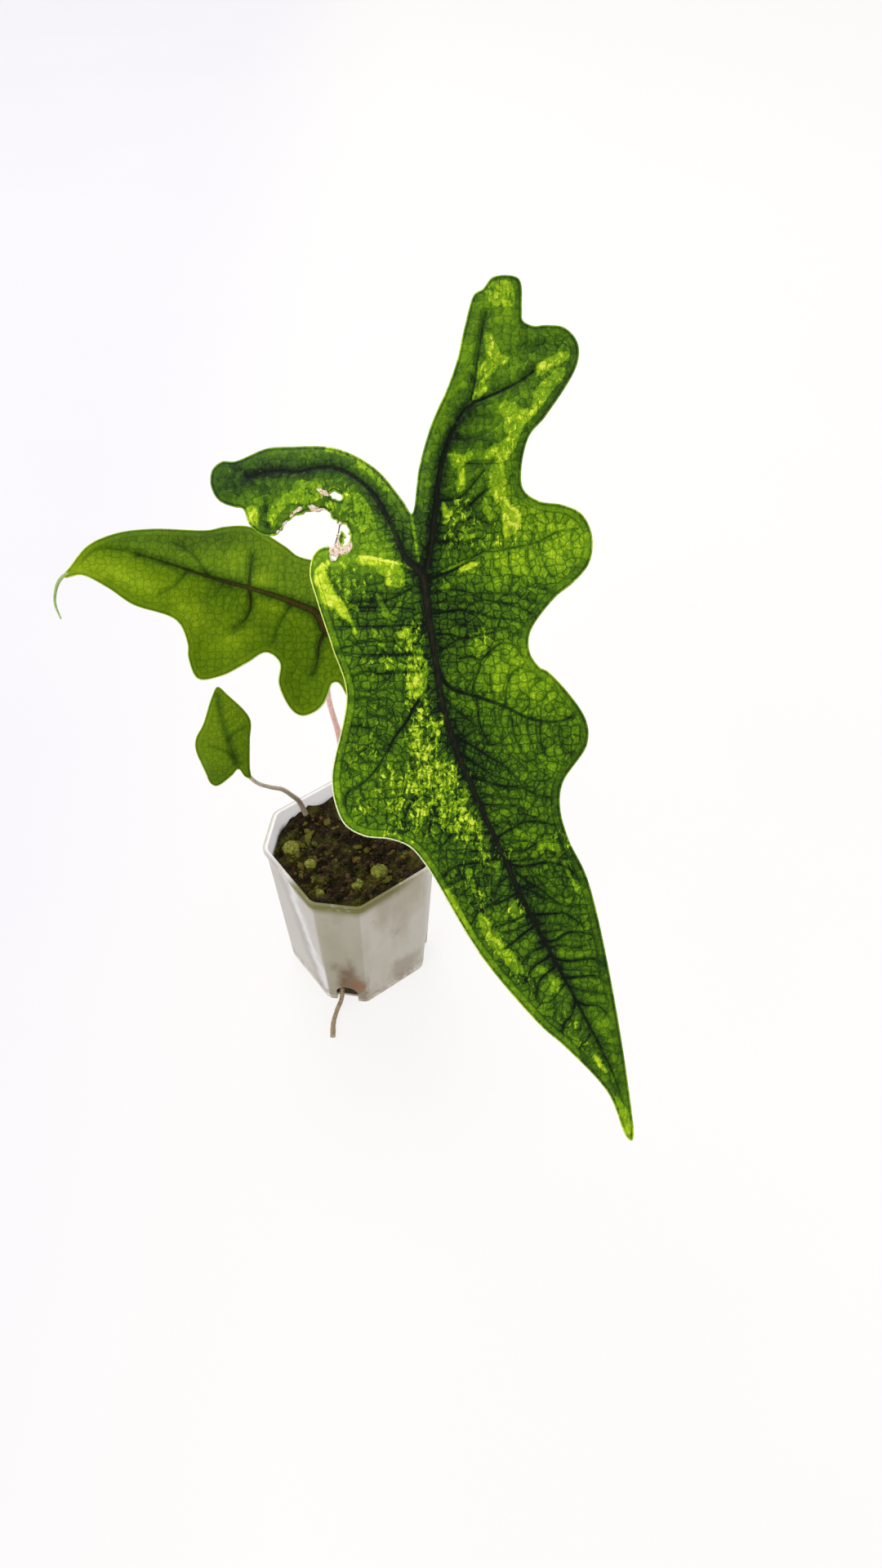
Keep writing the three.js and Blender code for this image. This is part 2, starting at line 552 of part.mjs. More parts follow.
// The blade: one triangulation of its outline, used for both faces, so that they never cross
function makeBlade(leaf, cell, seed) {
  const random = draws(seed);
  const loops = [smoothLoop(leaf.outline, cell * 0.75)];
  leaf.holes.forEach((hole) => loops.push(smoothLoop(hole, 1).reverse()));
  const within = (x, y) =>
    insideLoop(loops[0], x, y) && loops.slice(1).every((hole) => !insideLoop(hole, x, y));
  const inner = [];
  const ribGap = 0.8; // least room between the points of two ribs
  const farFrom = (x, y, least, others) => others.every((p) => Math.hypot(p.x - x, p.y - y) > least);
  for (const rib of leaf.ribs) {
    const curve = new THREE.CatmullRomCurve3(rib.map(([x, y]) => new THREE.Vector3(x, y, 0)));
    const steps = Math.ceil(curve.getLength() / cell);
    for (let s = 0; s <= steps; s++) {
      const p = curve.getPointAt(s / steps);
      const side = curve.getTangentAt(s / steps);
      for (const shift of [0, -RIB_HALF, RIB_HALF]) {
        const x = p.x - side.y * shift;
        const y = p.y + side.x * shift;
        if (within(x, y) && farFrom(x, y, ribGap, inner) && farFrom(x, y, ribGap + 0.1, loops.flat())) {
          inner.push(new THREE.Vector2(x, y));
        }
      }
    }
  }
  const ribPoints = inner.slice();
  const xs = loops[0].map((p) => p.x);
  const ys = loops[0].map((p) => p.y);
  const rowHeight = cell * Math.sqrt(0.75);
  let row = 0;
  for (let y = Math.min(...ys); y < Math.max(...ys); y += rowHeight) {
    row += 1;
    for (let x = Math.min(...xs) + (row % 2) * cell * 0.5; x < Math.max(...xs); x += cell) {
      const px = x + (random() - 0.5) * 0.3;
      const py = y + (random() - 0.5) * 0.3;
      const clear = farFrom(px, py, cell * 0.55, loops.flat()) && farFrom(px, py, cell * 0.55, ribPoints);
      if (clear && within(px, py)) inner.push(new THREE.Vector2(px, py));
    }
  }
  const rim = loops.flat();
  const points = [...rim, ...inner];
  const faces = delaunay(points).filter((t) => {
    const x = (points[t[0]].x + points[t[1]].x + points[t[2]].x) / 3;
    const y = (points[t[0]].y + points[t[1]].y + points[t[2]].y) / 3;
    return within(x, y);
  });
  const upper = [];
  const lower = [];
  for (const { x, y } of points) {
    const near = Math.min(...leaf.ribs.map((rib) => lineDistance(rib, x, y)));
    const rib = Math.max(0, 1 - near / RIB_HALF);
    const out = bladeNormal(leaf, x, y);
    upper.push(bladePoint(leaf, x, y).addScaledVector(out, -RIB_SINK * rib));
    lower.push(bladePoint(leaf, x, y).addScaledVector(out, -LEAF_THICK - RIB_RISE * rib));
  }
  const n = points.length;
  const skin = [];
  for (const [a, b, c] of faces) skin.push([a, b, c], [c + n, b + n, a + n]);
  let first = 0;
  for (const loop of loops) {
    loop.forEach((_, i) => {
      const a = first + i;
      const b = first + ((i + 1) % loop.length);
      skin.push([b, a, a + n], [b, a + n, b + n]);
    });
    first += loop.length;
  }
  return solidOf(closedMesh([...upper, ...lower], skin));
}

// The drip tip of the second leaf, a thread that curls down from its point
const DRIP_TIP = [[-78.6, 18.6], [-80.8, 17.4], [-82.5, 14.5], [-83, 9.5], [-81.2, 4.6]];

function makeDripTip() {
  const route = DRIP_TIP.map(([x, y]) => {
    const p = bladePoint(LEAF_2, x, y).addScaledVector(bladeNormal(LEAF_2, x, y), -LEAF_THICK / 2);
    return p.toArray();
  });
  return solidOf(stalk(route, [1.3, 1.2, 1, 0.8, 0.7], 0, 6, 12));
}

// One named piece with its own finish
function mesh(name, solid, colour, roughness) {
  const material = new THREE.MeshStandardMaterial({ color: colour, roughness, metalness: 0 });
  const made = new THREE.Mesh(geometryOf(solid), material);
  made.name = name;
  return made;
}

const plant = new THREE.Group();
plant.add(mesh("pot", makePot(), 0xc8c6be, 0.45));
plant.add(mesh("soil", makeSoil(), 0x2a1f10, 0.95));
plant.add(mesh("stem_base", makeStem(), 0x6b3a28, 0.8));
for (const [name, sizes] of Object.entries(STALKS)) {
  plant.add(mesh(name, petiole(sizes), sizes.colour, 0.55));
}
plant.add(mesh("root", solidOf(stalk(ROOT.route, ROOT.widths, 0, 8)), ROOT.colour, 0.85));
MOSS.forEach((_, index) => {
  plant.add(mesh(`moss_${index + 1}`, solidOf(mossCushion(index)), 0x8a8c2a, 0.95));
});
plant.add(mesh("leaf_1", makeBlade(LEAF_1, BLADE_CELL, 3), 0x3c6e0f, 0.42));
plant.add(mesh("leaf_2", makeBlade(LEAF_2, BLADE_CELL, 5).add(makeDripTip()), 0x50780a, 0.45));
plant.add(mesh("leaf_3", makeBlade(LEAF_3, YOUNG_CELL, 7), 0x557d0a, 0.5));

export default plant;
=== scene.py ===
# %% [markdown]
# # A young lobed alocasia in a small nursery pot
# The plant has three marbled leaves on thin stalks, in a square pot of frosted plastic filled with dark,
# mossy mix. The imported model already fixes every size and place. It is loaded first, and each rough
# solid in it is then replaced by a finer piece that stands in the same spot.

# %% Load the frame
import math

import bmesh
import bpy
import numpy as np
from mathutils import Matrix, Vector, noise
from mathutils.kdtree import KDTree


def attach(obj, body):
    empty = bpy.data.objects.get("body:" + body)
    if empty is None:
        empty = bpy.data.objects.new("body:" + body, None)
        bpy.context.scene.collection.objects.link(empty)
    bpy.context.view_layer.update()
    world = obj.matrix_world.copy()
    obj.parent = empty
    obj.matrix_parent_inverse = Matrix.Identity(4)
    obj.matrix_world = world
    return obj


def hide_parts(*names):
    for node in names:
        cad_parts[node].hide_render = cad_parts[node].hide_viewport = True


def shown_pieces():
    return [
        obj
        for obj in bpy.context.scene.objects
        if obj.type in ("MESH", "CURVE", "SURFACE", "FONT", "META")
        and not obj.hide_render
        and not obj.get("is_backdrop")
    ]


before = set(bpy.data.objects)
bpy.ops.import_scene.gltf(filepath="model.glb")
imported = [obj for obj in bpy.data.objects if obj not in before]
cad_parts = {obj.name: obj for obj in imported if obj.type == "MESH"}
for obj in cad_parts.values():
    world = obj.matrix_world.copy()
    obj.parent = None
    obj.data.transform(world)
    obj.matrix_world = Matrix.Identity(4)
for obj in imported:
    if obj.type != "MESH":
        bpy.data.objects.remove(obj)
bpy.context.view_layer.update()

MM = 0.001
print("nodes in the frame:", ", ".join(sorted(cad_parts)))

# %% [markdown]
# ## Camera
# The plant is looked down on from above and in front, close by, so the leaf nearest the viewer looks far
# larger than the pot. A short lens this close is what gives that strong perspective, so the place of the
# camera matters as much as its angle.

# %% Camera
EYE = np.array([34.9, -287.7, 427.5])  # millimetres
LOOK_DOWN = math.radians(48.3)
LENS_IN_PIXELS = 1443.0
FRAME_TALL = 1920.0
SENSOR = 36.0

camera = bpy.data.objects.new("viewer", bpy.data.cameras.new("viewer"))
camera.data.sensor_width = SENSOR
camera.data.lens = LENS_IN_PIXELS * SENSOR / FRAME_TALL
camera.data.clip_start, camera.data.clip_end = 0.02, 30
camera.location = Vector(EYE * MM)
camera.rotation_euler = (math.pi / 2 - LOOK_DOWN, 0, 0)
bpy.context.scene.collection.objects.link(camera)
bpy.context.scene.camera = camera
print(f"camera: {camera.data.lens:.2f} mm lens, {EYE[2]:.0f} mm above the surface")

# %% [markdown]
# ## Surface and light
# A plain white surface fills the picture. The light is that of a bright white room: a wide soft lamp
# high up behind the plant lets the blades glow, a second one from the front and left fills the shadows,
# and the sky colour does the rest. Soft, large lamps keep the shadow under the pot pale and blurred.

# %% Surface and light
LAMP_AIM = Vector((0, 0, 0.15))
SURFACE_REACH = 6.0


def soft_lamp(name, place, wide, watts, glow):
    lamp = bpy.data.lights.new(name, "AREA")
    lamp.shape, lamp.size, lamp.energy, lamp.color = "DISK", wide, watts, glow
    thing = bpy.data.objects.new(name, lamp)
    thing.location = place
    thing.rotation_euler = (LAMP_AIM - Vector(place)).to_track_quat("-Z", "Y").to_euler()
    bpy.context.scene.collection.objects.link(thing)


soft_lamp("window_behind", (-0.25, 0.75, 1.15), 1.0, 9.0, (1.0, 0.99, 0.97))
soft_lamp("fill_front", (-0.75, -0.75, 0.95), 0.9, 5.0, (0.97, 0.98, 1.0))

sky = bpy.data.worlds.new("white_room")
sky.use_nodes = True
sky.node_tree.nodes["Background"].inputs["Color"].default_value = (0.97, 0.98, 1.0, 1)
sky.node_tree.nodes["Background"].inputs["Strength"].default_value = 0.75
bpy.context.scene.world = sky
bpy.context.scene.view_settings.view_transform = "Standard"

surface = bpy.data.objects.new("surface", bpy.data.meshes.new("surface"))
sheet = bmesh.new()
bmesh.ops.create_circle(sheet, cap_ends=True, segments=64, radius=SURFACE_REACH)
sheet.to_mesh(surface.data)
sheet.free()
bpy.context.scene.collection.objects.link(surface)
surface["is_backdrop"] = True
print(f"{len(bpy.data.lights)} lamps, and a surface {2 * SURFACE_REACH:.0f} m across")

# %% [markdown]
# ## Tools for finishes
# A finish is a small graph of nodes. Short helpers keep each graph readable: one puts a node down and
# fills its sockets, and the others make the few nodes that come back all the time, such as a soft step,
# a mix of two colours or a sum. Colours are written as a paint chart gives them, from 0 to 255, and turned
# into light values.

# %% Tools for finishes
def tint(red, green, blue):
    def light(level):
        part = level / 255
        return part / 12.92 if part < 0.04045 else ((part + 0.055) / 1.055) ** 2.4

    return (light(red), light(green), light(blue), 1.0)


def new_finish(name):
    finish = bpy.data.materials.new(name)
    finish.use_nodes = True
    return finish, finish.node_tree, finish.node_tree.nodes["Principled BSDF"]


def put(tree, kind, inputs=None, out=0, **settings):
    node = tree.nodes.new("ShaderNode" + kind)
    for name, value in settings.items():
        setattr(node, name, value)
    for socket, value in (inputs or {}).items():
        if isinstance(value, bpy.types.NodeSocket):
            tree.links.new(value, node.inputs[socket])
        else:
            node.inputs[socket].default_value = value
    return node.outputs[out]


def soft_step(tree, value, low, high, start=0.0, end=1.0):
    return put(tree, "MapRange", {0: value, 1: low, 2: high, 3: start, 4: end},
               interpolation_type="SMOOTHSTEP")


def mixed(tree, share, first, second):
    return put(tree, "Mix", {0: share, 6: first, 7: second}, out=2, data_type="RGBA")


def reckon(tree, what, *values):
    return put(tree, "Math", dict(enumerate(values)), operation=what)


def times(tree, first, second):
    return reckon(tree, "MULTIPLY", first, second)


def stronger(tree, first, second):
    return reckon(tree, "MAXIMUM", first, second)


def total(tree, start, *parts):
    for value, factor in parts:
        start = reckon(tree, "MULTIPLY_ADD", value, factor, start)
    return start


def stretched(tree, where, factors):
    return put(tree, "VectorMath", {0: where, 1: factors}, operation="MULTIPLY")


def speckle(tree, where, scale, detail=3.0, rough=0.55):
    return put(tree, "TexNoise", {"Vector": where, "Scale": scale, "Detail": detail, "Roughness": rough})


def ramp(tree, value, stops):
    colour = put(tree, "ValToRGB", {0: value})
    marks = colour.node.color_ramp.elements
    marks.remove(marks[1])
    marks[0].position, marks[0].color = stops[0]
    for place, shade in stops[1:]:
        marks.new(place).color = shade
    return colour


def stored(tree, name):
    return put(tree, "Attribute", out=2, attribute_name=name)


def object_place(tree):
    return put(tree, "TexCoord", out=3)


def dress(tree, shader, colour, roughness, height, strength, depth, specular=0.5):
    bump = put(tree, "Bump", {"Strength": strength, "Distance": depth, "Height": height})
    for socket, value in (("Base Color", colour), ("Roughness", roughness), ("Normal", bump)):
        tree.links.new(value, shader.inputs[socket])
    shader.inputs["Specular IOR Level"].default_value = specular


print(f"a middle grey, 128, gives back {tint(128, 128, 128)[0]:.2f} of the light")

# %% [markdown]
# The surface is a sheet of white card. Part of its white is given off by the card itself, as from a light
# table, which keeps the shadow round the pot as faint as it is in a very bright room. That white is a
# little warmer on the right and turns to a faint lavender on the left.

# %% White card
card, tree, shader = new_finish("white_card")
place = object_place(tree)
tone = speckle(tree, place, 7.0, 2.0)
left = soft_step(tree, put(tree, "SeparateXYZ", {0: place}), 0.0, -0.2)
left = times(tree, left, soft_step(tree, tone, 0.2, 0.8, 0.7, 0.95))
WARM_WHITE, LAVENDER_WHITE = (1, 0.982, 0.966, 1), (0.9, 0.885, 0.945, 1)
for socket, value in (
        ("Base Color", mixed(tree, tone, tint(104, 102, 100), tint(112, 111, 110))),
        ("Emission Color", mixed(tree, left, WARM_WHITE, LAVENDER_WHITE)),
        ("Roughness", soft_step(tree, tone, 0.3, 0.7, 0.7, 0.9))):
    tree.links.new(value, shader.inputs[socket])
shader.inputs["Specular IOR Level"].default_value = 0.1
shader.inputs["Emission Strength"].default_value = 0.83
surface.data.materials.append(card)
print(f"white card: {len(tree.nodes)} nodes")

# %% [markdown]
# ## Helpers for pieces
# Every piece ends the same way: its bmesh is brought from millimetres to metres and becomes a mesh with its
# finish, it rides on the one body of the frame, and the node it stands for, if any, is hidden. Lines on
# the plant, such as margins and stalks, are smooth curves through a few measured points.

# %% Helpers for pieces
def piece_from(name, shape, finish, node=None, flat=False, unit=MM):
    mesh = bpy.data.meshes.new(name)
    bmesh.ops.scale(shape, verts=shape.verts[:], vec=(unit,) * 3)
    shape.to_mesh(mesh)
    shape.free()
    mesh.polygons.foreach_set("use_smooth", [not flat] * len(mesh.polygons))
    mesh.materials.append(finish)
    piece = bpy.data.objects.new(name, mesh)
    bpy.context.scene.collection.objects.link(piece)
    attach(piece, "root")
    if node:
        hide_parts(node)
    return piece


def smooth_line(points, step, closed=False):
    points = np.array(points, float)
    count = len(points)
    parts = []
    for k in range(count if closed else count - 1):
        if closed:
            p0, p1, p2, p3 = (points[(k + j) % count] for j in (-1, 0, 1, 2))
        else:
            p1, p2 = points[k], points[k + 1]
            p0 = points[k - 1] if k else 2 * p1 - p2
            p3 = points[k + 2] if k + 2 < count else 2 * p2 - p1
        d0, d1, d2 = (np.linalg.norm(b - a) ** 0.5 for a, b in ((p0, p1), (p1, p2), (p2, p3)))
        m1 = ((p1 - p0) / d0 - (p2 - p0) / (d0 + d1) + (p2 - p1) / d1) * d1
        m2 = ((p2 - p1) / d1 - (p3 - p1) / (d1 + d2) + (p3 - p2) / d2) * d1
        steps = max(1, round(np.linalg.norm(p2 - p1) / step))
        t = (np.arange(steps) / steps)[:, None]
        parts.append((2 * t**3 - 3 * t**2 + 1) * p1 + (t**3 - 2 * t**2 + t) * m1
                     + (3 * t**2 - 2 * t**3) * p2 + (t**3 - t**2) * m2)
    if not closed:
        parts.append(points[-1:])
    return np.vstack(parts)


def tree_of(line):
    tree = KDTree(len(line))
    for i, (x, y) in enumerate(line):
        tree.insert((x, y, 0), i)
    tree.balance()
    return tree


def nearest(line, places):
    tree = tree_of(line)
    found = [tree.find((x, y, 0)) for x, y in places]
    return np.array([f[2] for f in found]), np.array([f[1] for f in found])


def new_points(made):
    return [g for g in made["geom"] if isinstance(g, bmesh.types.BMVert)]


print(f"a test curve has {len(smooth_line([(0, 0), (10, 10), (20, 0)], 1.0))} points")

# %% [markdown]
# ## Where a blade lies in space
# A blade is drawn flat first, in millimetres from the point where its stalk joins it, and as the viewer
# sees it. Each point is then moved along its own line of sight by a height that folds the two halves,
# bends the lobes and lets the tip hang. So the outline stays true to the plant from the front, while
# the blade is curved from every other side.

# %% Where a blade lies in space
AHEAD = np.array([0, math.cos(LOOK_DOWN), -math.sin(LOOK_DOWN)])
UPWARD = np.array([0, math.sin(LOOK_DOWN), math.cos(LOOK_DOWN)])
LEAF_THICK = 0.7


def blade_point(leaf, x, y):
    place = EYE + AHEAD * leaf["distance"] + np.outer(leaf["join"][1] + y, UPWARD)
    place[:, 0] += leaf["join"][0] + x
    return place + (EYE - place) * (leaf["height"](x, y) / leaf["distance"])[:, None]


def blade_normal(leaf, x, y, reach=0.2):
    along = blade_point(leaf, x + reach, y) - blade_point(leaf, x - reach, y)
    up = blade_point(leaf, x, y + reach) - blade_point(leaf, x, y - reach)
    normal = np.cross(along, up)
    return normal / np.linalg.norm(normal, axis=1)[:, None]


def ease(value, low, high):
    t = np.clip((value - low) / (high - low), 0, 1)
    return t * t * (3 - 2 * t)


print("line of sight through the middle of the picture:", AHEAD.round(3))

# %% [markdown]
# ## Sizes of the large leaf
# The large leaf is an arrow with wavy sides. Its left basal lobe is torn and bent far back. Such a bend
# could be modelled by hand, but a formula for the height keeps it smooth and easy to change.

# %% How the large leaf bends
def large_height(x, y):
    down = np.maximum(0, -y)
    bend = 6 * np.log(1 + np.exp((down - 38) / 6))
    midrib = np.where(y < 0, 0.147 * down + 0.33 * bend, 0.05 * y)
    across = x - midrib
    reach = np.hypot(x, y)
    tip = -14 * (down / 139) ** 2
    left = ease(-x, -4, 8) * ease(y, -8, 12)
    right = ease(x, -3, 6) * ease(y, 0, 20)
    lobes = -31 * left * (reach / 58) ** 1.7 - 8 * right * (reach / 75) ** 2
    near, far = np.minimum(across, 0), np.maximum(across, 0)
    fold = -9 * (1 - np.exp(near / 22)) - 4.5 * (1 - np.exp(-far / 26))
    edge = np.minimum(1, np.abs(across) / 32) ** 2
    beat = np.cos(2 * math.pi * np.where(across < 0, (y + 52) / 50, (y - 10) / 47))
    return tip + lobes + fold - 2.3 * edge * beat * ease(y, -100, -60)


print(f"the tip of the large leaf hangs {-large_height(50.0, -139.0):.0f} mm down")

# %% [markdown]
# The side veins that could be followed one by one are rows of numbers: the width at the foot, then x and
# y of each point in turn. Each one thins out towards its tip. A rule could grow these too, but the strong
# veins are what this leaf is known by, so they are placed one by one. Finer ones are grown further down.

# %% Side veins of the large leaf
VEIN_TAPER = 0.6


def traced(rows):
    return [(np.reshape(row[1:], (-1, 2)), row[0], row[0] * VEIN_TAPER) for row in rows]


LARGE_VEINS = traced([
    # the right lobe
    (0.8, 1.6, -1.2, 8, 1.4, 15, 5.4, 19, 6, 28, 7.9, 33, 10.4, 38, 11.2),
    (0.6, 21.2, 6, 21, 3, 21.8, 0.6, 21.8, -1.6, 21.6, -4.6),
    (0.4, 17.2, 5, 17.4, 2, 18.4, 0.4, 19.8, -2.4),
    (0.5, 25.6, 6.6, 26, 2.4, 27, 0.6, 27.6, -1.6, 28.6, -3.4, 31, -3.6),
    (0.4, 14.2, 4.6, 14.6, 2, 16.8, -1.6), (0.5, 28.4, 7.6, 29, 4.6, 30, 2, 31, 0.4, 33, -0.6, 35, -1),
    (0.4, 33, 9.8, 33.8, 7, 35.4, 4, 37.4, 2.2), (0.35, 36.4, 11, 36.2, 8, 36.6, 5.6, 37.6, 3.4),
    (0.4, 21.8, -0.6, 24, -0.9, 25, -2.4, 30.6, -3.8), (0.4, 26.6, 8, 27.2, 11.4, 26.8, 14.4),
    (0.35, 30, 9.4, 30.4, 12, 30, 15), (0.35, 32.8, 10.4, 32.4, 14), (0.35, 22.4, 7.4, 21.6, 11),
    (0.35, 35, 11, 35.2, 13.8),
    # between the junction and the second right lobe
    (0.5, 3.4, -4, 8, -3.8, 11.8, -4.6, 14, -5.9, 18, -6.8, 22.4, -7.8, 26.6, -9.4),
    (0.4, 3.4, -6.8, 8, -6.6, 12, -7), (0.4, 14, -4.6, 18, -4.8, 22, -5, 24.8, -5.8, 28, -6.6),
    (0.4, 8, -12, 12, -12.6, 15, -12.8, 17.4, -13.6),
    (0.6, 3, -9.6, 7, -9, 10.4, -8.8, 13, -9.4, 17, -10.6, 21, -11, 25, -12),
    (0.4, 4.4, -18.6, 8, -16.4, 9.6, -15.6),
    (0.6, 3.4, -14.6, 6.6, -14.8, 9.6, -15.6, 14, -15, 17.2, -14.2, 20, -13.4, 22, -14.4, 24.2, -14.4),
    (0.6, 9, -20.6, 12, -20.2, 14, -21, 16.4, -19, 18.6, -17.2, 20.6, -16.8, 22.4, -17.6, 24.4, -19.8),
    (0.35, 18.6, -16.8, 19.4, -19, 20, -20.6, 22, -22.6), (0.35, 22, -14.4, 21.8, -16.8),
    (0.3, 17, -14.6, 18.8, -16.6),
    # the second right lobe
    (1.1, 3.8, -23.6, 5.4, -26.4, 8, -28.4, 12, -29.6, 20, -32.4, 24, -34.4, 28, -35.8, 33.6, -36,
     36.4, -35), (0.6, 12.2, -29.4, 12.6, -26.4, 13.8, -23.4, 14.2, -21.4),
    (0.6, 20.2, -32, 20.4, -28.6, 22, -24, 24, -23, 26.4, -24),
    (0.5, 24, -34.2, 26, -32, 26, -29.6, 26.4, -28, 28.8, -25.8),
    (0.4, 29, -35.8, 29, -33, 30, -30, 32, -27.8), (0.4, 17.6, -30.6, 16.4, -26.6, 16.6, -23.6),
    (0.35, 22.6, -31, 24, -29.4, 25, -28.8), (0.7, 13.2, -30.4, 13.6, -34, 14, -37, 16, -41),
    (0.4, 25.6, -35, 25.8, -38.6, 26.6, -41, 28, -45, 30, -47),
    (0.4, 17.4, -32.6, 18, -37, 19.4, -40, 20.6, -43, 25, -47.4, 28, -50, 31.6, -51),
    (0.5, 21.4, -33.4, 22, -37, 22.6, -40, 24.4, -43.4, 28.6, -48, 30.6, -49.4),
    (0.5, 28.8, -36, 28.8, -40, 29.4, -43, 31.6, -45.4, 34.4, -47),
    (0.4, 33.4, -36.4, 33.4, -40, 34.4, -42.4, 36.4, -44),
    (0.5, 5, -30, 9, -34, 12.4, -36.6, 14.4, -39.2, 16, -41),
    (0.7, 7.6, -39.6, 12, -42, 16, -44.6, 20, -47, 25, -52.4),
    (0.5, 9.4, -44.6, 12, -45.6, 15, -48, 18, -49.6, 20, -50), (0.35, 16, -41.6, 20, -42, 24, -41),
    (0.7, 11.6, -49.6, 15, -50.6, 20, -52, 24, -52.2, 27.4, -53.8, 31, -54.8),
    (0.35, 14, -53.6, 18, -54.4, 23, -55), (0.5, 14.2, -56.4, 19, -56.6, 23, -57, 25, -59, 25.2, -60.4),
    # the left side
    (0.8, 1.2, -28, -2, -32, -4, -36, -7, -40, -9, -44, -12, -48.4, -15, -51.4, -18, -53, -19, -55,
     -18.6, -58), (0.6, 0.4, -12.6, -6, -12.6, -12, -12.8, -22, -12.9),
    (0.4, -4, -16.2, -10.6, -16.6, -14, -16.6, -20, -18.2),
    (0.6, 1, -19.8, -6, -19.8, -12, -19.8, -16, -19.6, -21, -19),
    (0.5, -3, -3.6, -8, -6, -12, -6.6, -17, -6.6),
    (0.5, 0, -24, -6, -24, -11, -24.4, -14, -23.8, -16.6, -24.6, -17.4, -26),
    (0.4, -2, -8.6, -9, -8, -14, -8.2, -19, -8), (0.4, -8, -25, -12, -28.4, -16, -27.6),
    (0.4, -9, -31, -13, -30.4, -17, -30.8), (0.4, -7, -35, -10, -32.4, -14, -31),
    (0.5, -8.4, -42, -11, -40, -13, -38, -17, -37),
    (0.5, -10, -44.6, -13, -42.4, -15, -43.4, -17, -43.6), (0.4, -12.4, -47.6, -14, -46, -16.2, -44),
    (0.4, -5.6, -37.6, -8, -36, -14, -34), (0.5, -9.6, -46.8, -8.4, -49),
    (0.4, -12.4, -50, -10, -53, -8.6, -54.4), (0.5, -15.6, -52.2, -14.4, -55, -12.4, -57.4, -9, -59),
    (0.6, -2, -54.6, -3.6, -57, -4.4, -60, -4.2, -62),
    (0.6, 2.6, -56.4, 2.6, -59, 1.8, -61, 1.4, -63.4, 2, -65),
    (0.6, 16, -63.6, 12, -63.8, 8, -63.8, 6.4, -64.6, 4.4, -67, 3.6, -68.4),
    (0.4, 17, -67.8, 12, -68, 8, -68.6),
    # the tip
    (0.7, 18, -69.8, 14, -70.6, 11, -71, 8, -71.6, 5.4, -73.6), (0.4, 12.6, -71.4, 13.6, -75, 13, -78),
    (0.4, 8.6, -72, 9.8, -75, 10, -78), (0.4, 14.6, -71.4, 16, -75.6),
    (0.4, 20.4, -74.4, 18.6, -76, 17.4, -79),
    (0.6, 23, -78.2, 19, -80.4, 16, -81.4, 13.4, -83, 12, -85.4),
    (0.6, 25.4, -83.4, 21, -85.4, 18, -86.4, 16, -87.4), (0.4, 26, -85.6, 22, -87.4, 20, -88),
    (0.8, 27, -86.4, 24, -88.6, 22, -90.4, 19.4, -92.2),
    (0.4, 29.4, -91.2, 27, -92.4, 25, -94.4, 24, -95.6),
    (0.6, 31, -93.6, 27, -96.4, 25.4, -99, 25, -100.4),
    (0.6, 32.6, -96, 29, -99, 28, -101, 28, -103.4, 28.4, -105),
    (0.5, 34.6, -100.6, 32, -104.4, 32.4, -106.6),
    (0.6, 37.2, -105, 36.4, -108, 34.6, -110, 34.4, -112), (0.4, 39, -108.6, 38.4, -112),
    (0.4, 41, -112.6, 39, -116),
    (0.7, 18.2, -64.6, 20.6, -63, 22.4, -62, 24, -61, 27, -60.6, 31.6, -61.4),
    (0.4, 18, -61.8, 19, -60.8, 22, -61), (0.4, 19.6, -65, 24, -65.2, 26, -65.2),
    (0.5, 20, -67.8, 25, -67.6, 27, -66.4, 29, -65.2, 32, -65),
    (0.5, 21, -70.4, 25, -70, 28, -69.6, 30, -68.2, 32, -68.6),
    (0.4, 22.8, -76.4, 27, -77.8, 30, -79.4),
    (0.8, 20.6, -71, 24, -71.6, 27, -71.2, 30, -70.6, 33, -71, 36, -72.4, 38, -74.6),
    (0.5, 22.6, -73, 26, -75.6, 28.6, -77, 31, -79, 34, -81, 39.6, -81.6),
    (0.4, 26, -72, 28, -74.4, 30, -76.6, 32.6, -79), (0.4, 29, -71.2, 30.4, -74.4, 33, -77, 35, -79.4),
    (0.4, 31.6, -71.2, 33.4, -74, 35, -76.6, 37.4, -79.4),
    (0.7, 25.4, -83.8, 28, -83.4, 32, -83.2, 34.6, -83, 37, -84.4, 39.6, -86.4),
    (0.4, 27, -86, 31, -85.6, 36, -86.6),
    (0.8, 28.6, -90.2, 31, -90, 33, -89.4, 35, -88, 37, -87.6, 40, -88, 42, -88.6),
    (0.4, 28, -88.4, 31, -87.6, 34, -87.2),
    (0.6, 31.6, -94, 36, -94.8, 39, -94.4, 42, -94.2, 44, -95.4),
    (0.4, 31, -91.6, 34, -90.8, 37, -91.6, 40, -91), (0.7, 34, -99, 39, -98.6, 42, -98.4, 44.4, -99.6),
    (0.4, 33.6, -96.8, 38, -97, 43, -97.4), (0.4, 36, -101, 39, -102, 44, -102.4),
    (0.7, 37, -104.4, 40, -105.6, 42.6, -105.6, 45, -107.6),
    # the upper lobe
    (0.5, 4, 18, 8.6, 18.6, 11, 20.6, 13, 23, 15, 25.6), (0.6, 11.6, 17, 14, 19.4, 16.6, 21.2),
    (0.4, 11, 27.2, 14, 27, 19, 27.2), (0.4, 4, 8, 8, 8, 11, 7.4, 14, 9),
    (0.4, 10, 12.6, 12, 14, 14, 13.4, 16, 12.6)
])
print(f"{len(LARGE_VEINS)} side veins")

# %% [markdown]
# The margin, with its ragged notch and two holes, is given point by point. The ribs are too, each with its
# width at the foot and at the tip. A curve tool could draw them, but numbers are easy to check and change.

